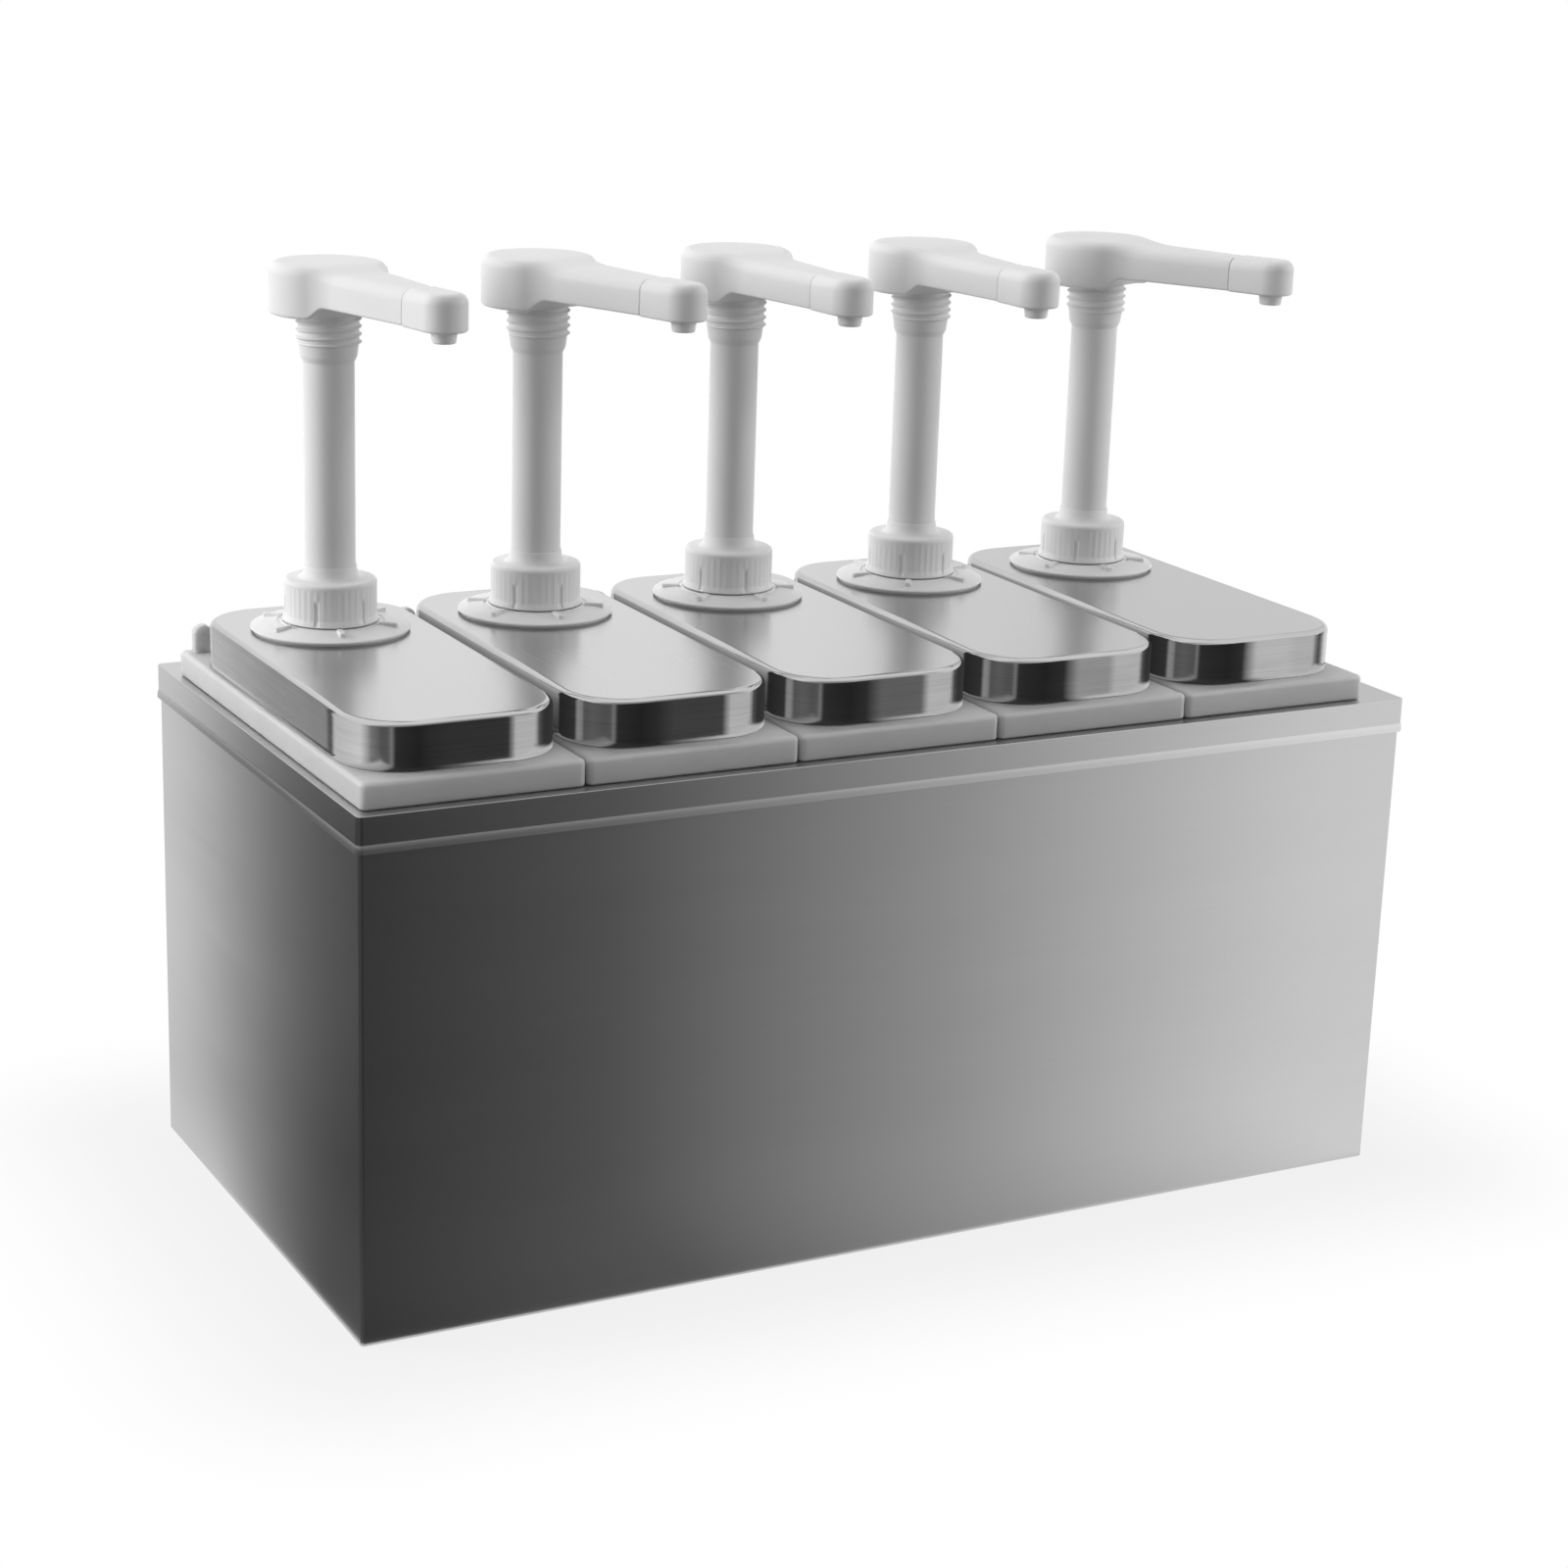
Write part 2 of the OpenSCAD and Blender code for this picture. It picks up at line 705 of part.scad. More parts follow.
module nozzle(i) {
    seam = spout_reach - tip_l;
    tip_r = spout_w / 2 + tip_proud;
    tip_h = spout_h + 2 * tip_proud;
    tip_z = spout_z - tip_proud;
    arch_l = tip_l - seat_gap;
    color(pump_white)
        at_pump(i)
            rotate([0, 0, head_turns[i - 1]])
                difference() {
                    union() {
                        translate([0, -spout_reach, tip_z])
                            rotate_extrude()
                                edge_profile(tip_r, tip_h, spout_edge_r);
                        translate([0, -spout_reach + arch_l, tip_z])
                            rotate([90, 0, 0])
                                linear_extrude(arch_l) {
                                    edge_profile(tip_r, tip_h, spout_edge_r);
                                    mirror([1, 0])
                                        edge_profile(tip_r, tip_h, spout_edge_r);
                                }
                        translate([0, -seam + plug_l, channel_z])
                            rotate([90, 0, 0])
                                cylinder(r = channel_d / 2 - fix_gap, h = plug_l + 1);
                        translate([0, -spout_reach, tip_z - outlet_l])
                            cylinder(d = outlet_d, h = outlet_l + 1);
                    }
                    translate([0, -seam + plug_l + 1, channel_z])
                        rotate([90, 0, 0])
                            cylinder(r = channel_d / 2 - 1.2, h = tip_l + plug_l + 1);
                    translate([0, -spout_reach, 0])
                        hole(outlet_bore / 2, tip_z - outlet_l, channel_z);
                }
}

cabinet_shell();
top_frame();
base_plate();
for (i = ids) {
    jar(i);
    lid(i);
    mount_flange(i);
    collar(i);
    barrel(i);
    suction_foot(i);
    spring(i);
    piston(i);
    riser(i);
    head(i);
    nozzle(i);
}
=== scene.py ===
import math

import bmesh
import bpy
from mathutils import Matrix, Vector


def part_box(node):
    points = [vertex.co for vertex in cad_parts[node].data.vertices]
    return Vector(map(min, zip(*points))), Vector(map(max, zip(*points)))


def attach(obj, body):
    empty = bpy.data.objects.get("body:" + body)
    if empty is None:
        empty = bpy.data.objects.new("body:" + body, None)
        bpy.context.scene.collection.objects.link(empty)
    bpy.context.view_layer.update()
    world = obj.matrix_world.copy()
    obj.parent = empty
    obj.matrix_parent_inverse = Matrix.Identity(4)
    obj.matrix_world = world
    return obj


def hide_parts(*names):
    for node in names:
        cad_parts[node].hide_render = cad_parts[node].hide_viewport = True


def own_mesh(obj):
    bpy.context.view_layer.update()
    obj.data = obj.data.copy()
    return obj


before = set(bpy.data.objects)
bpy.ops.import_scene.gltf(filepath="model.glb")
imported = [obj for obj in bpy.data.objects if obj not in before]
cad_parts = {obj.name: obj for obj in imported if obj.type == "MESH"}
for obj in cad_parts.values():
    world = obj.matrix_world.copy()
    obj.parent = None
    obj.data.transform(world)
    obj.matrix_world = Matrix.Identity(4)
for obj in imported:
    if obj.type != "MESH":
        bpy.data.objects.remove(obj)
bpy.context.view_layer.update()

# Sizes in millimetres, taken from the frame's own boxes where they give them. Turns are in degrees, one
# for each station from left to right.
MM = 0.001
STATIONS = range(1, 6)
HEAD_TURNS = [9, 16, 4, 2, 24]
FLANGE_TURNS = [20, 29, 38, 59, 25]
COLLAR_TURNS = [53, 40, 26, 49, 50]
NO_TURNS = [0] * len(STATIONS)
SEAT = 0.3


def box_mm(node):
    low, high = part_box(node)
    return Vector(low) / MM, Vector(high) / MM


def middle(node):
    low, high = box_mm(node)
    return (low + high) / 2


top_low, top_high = box_mm("top_frame")
wall_low, wall_high = box_mm("cabinet_shell")
jar_low, jar_high = box_mm("jar_1")
lid_low, lid_high = box_mm("lid_1")
flange_low, flange_high = box_mm("mount_flange_1")
collar_low, collar_high = box_mm("collar_1")
barrel_low, barrel_high = box_mm("barrel_1")
foot_low, foot_high = box_mm("suction_foot_1")
spring_low, spring_high = box_mm("spring_1")
piston_high = box_mm("piston_1")[1]
riser_low, riser_high = box_mm("riser_1")
head_low, head_high = box_mm("head_1")
tip_low, tip_high = box_mm("nozzle_1")

# Cabinet: the hem is a shallow bead that starts HEM_TUCK degrees below its middle
SHEET, WALL_R, FOLD_R, TOP_EDGE = 1.0, 1.6, 2.5, 0.4
HEM_PROUD, HEM_R, HEM_TUCK = 0.6, 6.0, 12.0
CAB_W = top_high.x - top_low.x - 2 * HEM_PROUD
CAB_D = top_high.y - top_low.y - 2 * HEM_PROUD
CAB_H = top_high.z
HEM_Z = top_low.z
WALL_W, WALL_D, WALL_TOP = wall_high.x - wall_low.x, wall_high.y - wall_low.y, wall_high.z
WELL_ROOM, WELL_LIP, WELL_EDGE, WELL_R = 1.5, 10.0, 1.2, 2.5

# Jars and lids
RIM_W, RIM_D = jar_high.x - jar_low.x, jar_high.y - jar_low.y
RIM_Y = (jar_low.y + jar_high.y) / 2
RIM_Z, RIM_TOP = CAB_H + SEAT, lid_low.z - SEAT
RIM_CORNER, RIM_EDGE, RIM_SOFT = 3.0, 2.0, 1.0
JAR_Z, JAR_WALL, NECK_H, LIP_R = jar_low.z, 3.0, 8.0, 1.3
JAR_FOOT_R, JAR_FOOT_IN, JAR_FLOOR_R, LUG_IN, LUG_BACK = 5.0, 12.0, 6.0, 9.0, 7.0
LID_W, LID_D = lid_high.x - lid_low.x, lid_high.y - lid_low.y
LID_Y = (lid_low.y + lid_high.y) / 2
LID_Z, LID_TOP = lid_low.z, lid_high.z
LID_CORNER, LID_EDGE, LID_SHEET, NECK_STEP = 27.5, 3.0, 0.8, 1.3
JAR_W, JAR_D, JAR_CORNER = LID_W - 2 * NECK_STEP, LID_D - 2 * NECK_STEP, LID_CORNER - NECK_STEP

# Pumps
PUMP_Y = middle("riser_1").y
FLANGE_R = (flange_high.x - flange_low.x) / 2
FLANGE_FOOT, FLANGE_EDGE, FLANGE_H, FLANGE_BORE, FLANGE_RIBS = 0.9, 2.3, 4.4, 15.8, 6
FLANGE_TOP = LID_TOP + FLANGE_H
NECK_R, NECK_TOP, LID_HOLE_R, SPIGOT_R, SPIGOT_L = 17.7, flange_high.z, 19.7, 19.5, 4.0
COLLAR_R, COLLAR_FLARE, WIPER_H, CAVITY_R = 20.8, 0.8, 6.0, 18.0
FLUTES, FLUTE_DEPTH, NOTCHES, NOTCH_DEPTH, NOTCH_H = 42, 0.14, 6, 0.7, 11.5
COLLAR_Z, COLLAR_TOP = collar_low.z, collar_high.z - WIPER_H
RISER_R, STEM_R, RISER_BORE, SLIDE = 11.3, 9.1, 7.5, 0.1
CONE_Z, BAND_Z, THREAD_Z = COLLAR_TOP + 97.1, COLLAR_TOP + 100.1, COLLAR_TOP + 104.5
HUB_R, HUB_Z, HUB_TOP = 26.0, head_low.z, head_high.z
SPOUT_Z, SPOUT_TOP = HUB_Z + 5.6, HUB_TOP - 1.6
REACH, TIP_L, TIP_R = 98.0, 18.0, 10.1
SEAM = REACH - TIP_L
OUTLET_Z, TIP_TOP = tip_low.z, tip_high.z
TIP_Z = OUTLET_Z + 5.0
BARREL_BORE, BARREL_R, BARREL_FLOOR, TUBE_HOLD = 13.0, 15.5, 2.0, 12.0
TUBE_R, TUBE_BORE_R, CAGE_R, VALVE_R = 7.0, 4.0, 4.9, 3.6
WIRE, SPRING_R, SPRING_CURLS = 0.8, 10.8, 8


def station_x(i):
    return middle("riser_%d" % i).x


def smooth(t):
    t = min(1.0, max(0.0, t))
    return t * t * (3 - 2 * t)


def ramp_up(value, start, run):
    return min(1.0, max(0.0, (value - start) / run))


# Mesh building

def link(name, mesh):
    obj = bpy.data.objects.new(name, mesh)
    bpy.context.scene.collection.objects.link(obj)
    return obj


def tidy(obj, angle=35.0):
    """Joins coincident points, turns faces outwards and keeps edges sharper than the angle crisp."""
    bm = bmesh.new()
    bm.from_mesh(obj.data)
    bmesh.ops.remove_doubles(bm, verts=bm.verts, dist=1e-6)
    bmesh.ops.recalc_face_normals(bm, faces=bm.faces)
    for f in bm.faces:
        f.smooth = True
    bm.to_mesh(obj.data)
    bm.free()
    obj.data.set_sharp_from_angle(angle=math.radians(angle))


def new_object(name, verts, faces, mats, angle=35.0, groups=None):
    mesh = bpy.data.meshes.new(name)
    mesh.from_pydata([Vector(v) * MM for v in verts], [], faces)
    for m in mats:
        mesh.materials.append(m)
    if groups:
        for poly, g in zip(mesh.polygons, groups):
            poly.material_index = g
    obj = link(name, mesh)
    tidy(obj, angle)
    return obj


def weigh(obj):
    mod = obj.modifiers.new("normals", "WEIGHTED_NORMAL")
    mod.keep_sharp = True
    mod.weight = 60


def copy_at(source, name, matrix):
    mesh = source.data.copy()
    mesh.name = name
    mesh.transform(matrix)
    return link(name, mesh)


def drop(obj):
    mesh = obj.data
    bpy.data.objects.remove(obj)
    bpy.data.meshes.remove(mesh)


def boolean(obj, other, operation):
    mod = obj.modifiers.new("bool", "BOOLEAN")
    mod.object = other
    mod.operation = operation
    mod.solver = "MANIFOLD"
    bpy.context.view_layer.update()
    graph = bpy.context.evaluated_depsgraph_get()
    mesh = bpy.data.meshes.new_from_object(obj.evaluated_get(graph))
    obj.modifiers.clear()
    old = obj.data
    obj.data = mesh
    bpy.data.meshes.remove(old)
    drop(other)


def arc(cx, cy, r, a0, a1, n):
    return [(cx + r * math.cos(math.radians(a0 + (a1 - a0) * k / n)),
             cy + r * math.sin(math.radians(a0 + (a1 - a0) * k / n))) for k in range(n + 1)]


def rect_ring(cx, cy, w, d, r, z, n=10):
    points = []
    for sx, sy, a0 in ((1, -1, -90), (1, 1, 0), (-1, 1, 90), (-1, -1, 180)):
        ox, oy = cx + sx * (w / 2 - r), cy + sy * (d / 2 - r)
        points += [(x, y, z) for x, y in arc(ox, oy, r, a0, a0 + 90, n)]
    return points


def circle_ring(cx, cy, r, z, count):
    start = -90.0 + 180.0 / count
    return [(cx + r * math.cos(math.radians(start + 360.0 * k / count)),
             cy + r * math.sin(math.radians(start + 360.0 * k / count)), z) for k in range(count)]


def loft(name, rings, mats, loop=False, angle=35.0, slots=None):
    """Joins rings of equal count by quads, closed by caps, or back to the first ring if loop is set."""
    count = len(rings[0])
    verts = [p for ring in rings for p in ring]
    faces, groups = [], []
    for a in range(len(rings) if loop else len(rings) - 1):
        b = (a + 1) % len(rings)
        for k in range(count):
            n = (k + 1) % count
            faces.append((a * count + k, a * count + n, b * count + n, b * count + k))
            groups.append(slots[a] if slots else 0)
    if not loop:
        base = (len(rings) - 1) * count
        faces += [tuple(range(count - 1, -1, -1)), tuple(range(base, base + count))]
        groups += [slots[0], slots[-1]] if slots else [0, 0]
    return new_object(name, verts, faces, mats, angle, groups)


def lathe(name, profile, mats, count=96, radius=None, angle=35.0, loop=True):
    """Revolves (radius, height) points; radius(r, z, t) may reshape them."""
    rings = []
    for r, z in profile:
        ring = []
        for s in range(count):
            t = 2 * math.pi * s / count
            rr = radius(r, z, t) if radius else r
            ring.append((rr * math.cos(t), rr * math.sin(t), z))
        rings.append(ring)
    return loft(name, rings, mats, loop=loop, angle=angle)


def mirrored_loft(name, halves, mats, angle=35.0):
    """Lofts mirrored half outlines from below to above, closed at the seam, underneath and on top."""
    rings = []
    for half in halves:
        left = [(-x, y, z) for x, y, z in reversed(half)]
        if abs(half[-1][0]) < 1e-6:
            left = left[1:]
        rings.append(list(half) + left)
    count = len(rings[0])
    verts = [p for ring in rings for p in ring]
    faces = []
    for a in range(len(rings) - 1):
        for k in range(count - 1):
            low, high = a * count + k, (a + 1) * count + k
            faces.append((low, low + 1, high + 1, high))
    faces.append(tuple([a * count for a in range(len(rings))] +
                       [a * count + count - 1 for a in range(len(rings) - 1, -1, -1)]))
    for base in (0, (len(rings) - 1) * count):
        k = 0
        while k < count - 2 - k:
            a, b = base + k, base + k + 1
            c, d = base + count - 2 - k, base + count - 1 - k
            faces.append((a, b, d) if b == c else (a, b, c, d))
            k += 1
    return new_object(name, verts, faces, mats, angle)


# Materials

def new_material(name):
    mat = bpy.data.materials.new(name)
    mat.use_nodes = True
    nodes, links = mat.node_tree.nodes, mat.node_tree.links
    shader = nodes["Principled BSDF"]
    coord = nodes.new("ShaderNodeTexCoord")
    return mat, nodes, links, shader, coord


def stretched_noise(nodes, links, coord, scale, detail=4.0, rough=0.6):
    mapping = nodes.new("ShaderNodeMapping")
    mapping.inputs["Scale"].default_value = scale
    links.new(coord.outputs["Object"], mapping.inputs["Vector"])
    noise = nodes.new("ShaderNodeTexNoise")
    noise.inputs["Scale"].default_value = 1.0
    noise.inputs["Detail"].default_value = detail
    noise.inputs["Roughness"].default_value = rough
    links.new(mapping.outputs["Vector"], noise.inputs["Vector"])
    return noise


def ramp(nodes, links, source, stops):
    node = nodes.new("ShaderNodeValToRGB")
    items = node.color_ramp.elements
    while len(items) < len(stops):
        items.new(0.5)
    for item, (pos, value) in zip(items, stops):
        item.position = pos
        item.color = (value, value, value, 1) if isinstance(value, float) else (*value, 1)
    links.new(source, node.inputs["Fac"])
    return node


def bump(nodes, links, shader, height, strength, distance):
    node = nodes.new("ShaderNodeBump")
    node.inputs["Strength"].default_value = strength
    node.inputs["Distance"].default_value = distance
    links.new(height, node.inputs["Height"])
    links.new(node.outputs["Normal"], shader.inputs["Normal"])


CLOUD_SHARE, RAMP_LOW, RAMP_HIGH, COOL = 0.4, 0.3, 0.7, 0.004
MILKY_R = 0.008


def steel(name, tone, spread, polish, grain, blotch, depth):
    """Brushed sheet: fine streaks along the grain, with a slow cloudy change of tone and polish."""
    mat, nodes, links, shader, coord = new_material(name)
    shader.inputs["Metallic"].default_value = 1.0
    streaks = stretched_noise(nodes, links, coord, grain, 5.0, 0.65)
    clouds = stretched_noise(nodes, links, coord, blotch, 3.0, 0.5)
    mix = nodes.new("ShaderNodeMix")
    mix.data_type = "FLOAT"
    mix.inputs[0].default_value = CLOUD_SHARE
    links.new(streaks.outputs["Fac"], mix.inputs[2])
    links.new(clouds.outputs["Fac"], mix.inputs[3])
    dark, light = tone - spread, tone + spread
    stops = [(RAMP_LOW, (dark, dark, dark + COOL)), (RAMP_HIGH, (light, light, light + COOL))]
    tint = ramp(nodes, links, mix.outputs[0], stops)
    links.new(tint.outputs["Color"], shader.inputs["Base Color"])
    gloss = ramp(nodes, links, mix.outputs[0], [(RAMP_LOW, polish[0]), (RAMP_HIGH, polish[1])])
    links.new(gloss.outputs["Color"], shader.inputs["Roughness"])
    bump(nodes, links, shader, streaks.outputs["Fac"], depth, 0.0002)
    return mat


def plastic(name, tone, spread, satin, cell, depth, milky=0.0):
    """Moulded white plastic: faint flow marks in the tone and a fine satin texture.

    Light spreads inside a milky one."""
    mat, nodes, links, shader, coord = new_material(name)
    flow = stretched_noise(nodes, links, coord, (22.0, 22.0, 14.0), 3.0, 0.5)
    dark, light = tone - spread, tone + spread
    stops = [(RAMP_LOW, (dark, dark, dark)), (RAMP_HIGH, (light, light, light - COOL))]
    tint = ramp(nodes, links, flow.outputs["Fac"], stops)
    links.new(tint.outputs["Color"], shader.inputs["Base Color"])
    fine = stretched_noise(nodes, links, coord, (cell, cell, cell), 3.0, 0.6)
    gloss = ramp(nodes, links, fine.outputs["Fac"], [(RAMP_LOW, satin[0]), (RAMP_HIGH, satin[1])])
    links.new(gloss.outputs["Color"], shader.inputs["Roughness"])
    bump(nodes, links, shader, fine.outputs["Fac"], depth, 0.0001)
    shader.inputs["IOR"].default_value = 1.49
    shader.inputs["Subsurface Weight"].default_value = milky
    shader.inputs["Subsurface Radius"].default_value = (MILKY_R, MILKY_R, MILKY_R)
    shader.inputs["Subsurface Scale"].default_value = 1.0
    return mat


LEVEL_GRAIN, CROSS_GRAIN, SKIRT_GRAIN = (9.0, 9.0, 2200.0), (900.0, 4.0, 4.0), (14.0, 14.0, 1100.0)
LEVEL_CLOUD, SKIRT_CLOUD = (6.0, 6.0, 40.0), (40.0, 40.0, 160.0)
cabinet_steel = steel("cabinet_brushed", 0.60, 0.022, (0.30, 0.38), LEVEL_GRAIN, LEVEL_CLOUD, 0.05)
# The hem's own lighter, rougher steel is a painted highlight along the rolled hem
hem_painted_highlight_steel = steel("hem_painted_highlight", 0.78, 0.02, (0.54, 0.64), LEVEL_GRAIN, LEVEL_CLOUD, 0.03)
inner_steel = steel("base_mill_finish", 0.52, 0.06, (0.34, 0.46), CROSS_GRAIN, (9.0, 9.0, 9.0), 0.10)
lid_top_steel = steel("lid_brushed", 0.62, 0.016, (0.21, 0.29), CROSS_GRAIN, (12.0, 5.0, 5.0), 0.03)
lid_side_steel = steel("lid_polished", 0.55, 0.06, (0.10, 0.20), SKIRT_GRAIN, SKIRT_CLOUD, 0.10)
wire_steel = steel("spring_wire", 0.58, 0.06, (0.18, 0.28), (40.0, 40.0, 900.0), (20.0, 20.0, 20.0),
                   0.05)
pump_plastic = plastic("pump_plastic", 0.80, 0.012, (0.34, 0.46), 900.0, 0.10)
jar_plastic = plastic("jar_plastic", 0.61, 0.02, (0.40, 0.55), 500.0, 0.18, 0.8)
barrel_plastic = plastic("barrel_plastic", 0.76, 0.012, (0.30, 0.42), 700.0, 0.08)


# Cabinet

def build_cabinet():
    def wall(inset, corner, z):
        return rect_ring(0, 0, WALL_W - 2 * inset, WALL_D - 2 * inset, corner, z)

    inner_r = WALL_R - 0.7
    rings = [wall(SHEET, inner_r, 0.0), wall(0.25, WALL_R - 0.2, 0.0), wall(0.05, WALL_R, 0.15),
             wall(0.0, WALL_R, 0.5), wall(0.0, WALL_R, WALL_TOP), wall(SHEET, inner_r, WALL_TOP)]
    shell = loft("cabinet_walls", rings, [cabinet_steel], loop=True)
    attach(shell, "station")
    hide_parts("cabinet_shell")
    weigh(shell)

    # Top sheet, skirt, rolled hem and the folded lip of the well, as one pressed sheet; the hem's bead and
    # the skirt's foot take a lighter steel, a painted highlight
    well_x = station_x(3)
    well_w = station_x(5) - station_x(1) + JAR_W + 2 * WELL_ROOM
    well_d = JAR_D + 2 * WELL_ROOM
    rings, slots = [], []

    def outside(grow, corner, z, slot=0):
        rings.append(rect_ring(0, 0, CAB_W + 2 * grow, CAB_D + 2 * grow, corner, z))
        slots.append(slot)

    def well(grow, z):
        rings.append(rect_ring(well_x, LID_Y, well_w + 2 * grow, well_d + 2 * grow, WELL_R + grow, z))
        slots.append(0)

    outside(-SHEET, FOLD_R - SHEET, CAB_H - SHEET)
    outside(-SHEET, FOLD_R - SHEET, HEM_Z + 0.1, 1)
    outside(0.2, FOLD_R + 0.2, HEM_Z, 1)
    crest = math.degrees(math.acos(1 - HEM_PROUD / HEM_R))
    bead_z = HEM_Z + 0.15 + HEM_R * math.sin(math.radians(HEM_TUCK))
    for u, v in arc(HEM_PROUD - HEM_R, bead_z, HEM_R, -HEM_TUCK, crest, 10):
        outside(u, FOLD_R + u, v, 1)
    slots[-1] = 0
    for u, v in arc(-TOP_EDGE, -TOP_EDGE, TOP_EDGE, 0, 90, 4):
        outside(u, FOLD_R + u, CAB_H + v)
    for u, v in arc(WELL_EDGE, -WELL_EDGE, WELL_EDGE, 90, 180, 5):
        well(u, CAB_H + v)
    well(0.0, CAB_H - WELL_LIP + 0.2)
    well(SHEET / 2, CAB_H - WELL_LIP)
    well(SHEET, CAB_H - WELL_LIP + 0.2)
    well(SHEET, CAB_H - SHEET)
    top = loft("cabinet_top", rings, [cabinet_steel, hem_painted_highlight_steel], loop=True, slots=slots)
    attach(top, "station")
    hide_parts("top_frame")
    weigh(top)


# Jars and lids

def build_jar(i):
    x = station_x(i)
    rings = []

    def body(inset, z):
        rings.append(rect_ring(x, LID_Y, JAR_W - 2 * inset, JAR_D - 2 * inset, JAR_CORNER - inset, z))

    def rim(inset, z):
        corner = RIM_CORNER - min(inset, RIM_EDGE)
        rings.append(rect_ring(x, RIM_Y, RIM_W - 2 * inset, RIM_D - 2 * inset, corner, z))

    body(JAR_FOOT_IN, JAR_Z)
    for u, v in arc(JAR_FOOT_R, JAR_FOOT_R, JAR_FOOT_R, 270, 180, 6):
        body(u, JAR_Z + v)
    body(0, RIM_Z - RIM_SOFT)
    body(0, RIM_Z)
    rim(RIM_SOFT, RIM_Z)
    for u, v in arc(RIM_SOFT, RIM_SOFT, RIM_SOFT, 270, 180, 3):
        rim(u, RIM_Z + v)
    for u, v in arc(RIM_EDGE, -RIM_EDGE, RIM_EDGE, 180, 90, 6):
        rim(u, RIM_TOP + v)
    body(-RIM_SOFT, RIM_TOP)
    for u, v in arc(-RIM_SOFT, RIM_SOFT, RIM_SOFT, 270, 360, 3):
        body(u, RIM_TOP + v)
    for u, v in arc(LIP_R, -LIP_R, LIP_R, 180, 0, 6):
        body(u, RIM_TOP + NECK_H + v)
    body(JAR_WALL, RIM_TOP - 4)
    for u, v in arc(JAR_WALL + JAR_FLOOR_R, JAR_FLOOR_R, JAR_FLOOR_R, 180, 270, 6):
        body(u, JAR_Z + JAR_WALL + v)
    body(JAR_FOOT_IN + JAR_WALL, JAR_Z + JAR_WALL)
    jar = loft("jar_tub_%d" % i, rings, [jar_plastic])
    for side in (-1, 1):
        lug = build_lug(x + side * (RIM_W / 2 - LUG_IN), RIM_Y + RIM_D / 2 - LUG_BACK)
        boolean(jar, lug, "UNION")
    tidy(jar, 40)
    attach(jar, "container_%d" % i)
    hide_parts("jar_%d" % i)
    weigh(jar)


def build_lug(x, y):
    """Upright tab with a round top and softened edges."""
    half_t, half_w, sunk, top = 2.5, 4.5, 1.5, jar_high.z - RIM_TOP
    outline = [(half_w, -sunk)] + arc(0, top - half_w, half_w, 0, 180, 16) + [(-half_w, -sunk)]
    front = [(-half_t, 1.0), (-half_t + 0.3, 0.35), (-half_t + 1.0, 0.0)]
    rings = []
    for depth, inset in front + [(-depth, inset) for depth, inset in reversed(front)]:
        ring = []
        for u, v in outline:
            scale = (half_w - inset) / half_w
            if v > top - half_w:
                v = top - half_w + (v - top + half_w) * scale
            ring.append((x + u * scale, y + depth, RIM_TOP + v))
        rings.append(ring)
    return loft("lug", rings, [jar_plastic])


def build_lid(i):
    x = station_x(i)
    rings, slots = [], []

    def add(inset, z, slot):
        width, depth = LID_W - 2 * inset, LID_D - 2 * inset
        rings.append(rect_ring(x, LID_Y, width, depth, LID_CORNER - inset, z, 14))
        slots.append(slot)

    hem_r = LID_SHEET / 2
    add(LID_EDGE, LID_TOP - LID_SHEET, 1)
    add(LID_SHEET, LID_TOP - LID_EDGE, 1)
    add(LID_SHEET, LID_Z + 0.3, 1)
    for u, v in arc(hem_r, hem_r, hem_r, 360, 180, 6):
        add(u, LID_Z + v, 1)
    add(0.0, LID_Z + 1.2, 1)
    add(0.0, LID_TOP - LID_EDGE - 0.2, 1)
    for u, v in arc(LID_EDGE, -LID_EDGE, LID_EDGE, 180, 90, 9):
        add(u, LID_TOP + v, 1)
    slots[-1] = 0
    add(LID_EDGE + 0.4, LID_TOP, 0)
    count = len(rings[0])
    rings += [circle_ring(x, PUMP_Y, LID_HOLE_R, z, count) for z in (LID_TOP, LID_TOP - LID_SHEET)]
    slots += [0, 1]
    lid = loft("lid_cover_%d" % i, rings, [lid_top_steel, lid_side_steel], loop=True, slots=slots)
    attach(lid, "lid_unit_%d" % i)
    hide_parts("lid_%d" % i)
    weigh(lid)


# Pump pieces, built once on the axis at X = Y = 0 and copied to each station

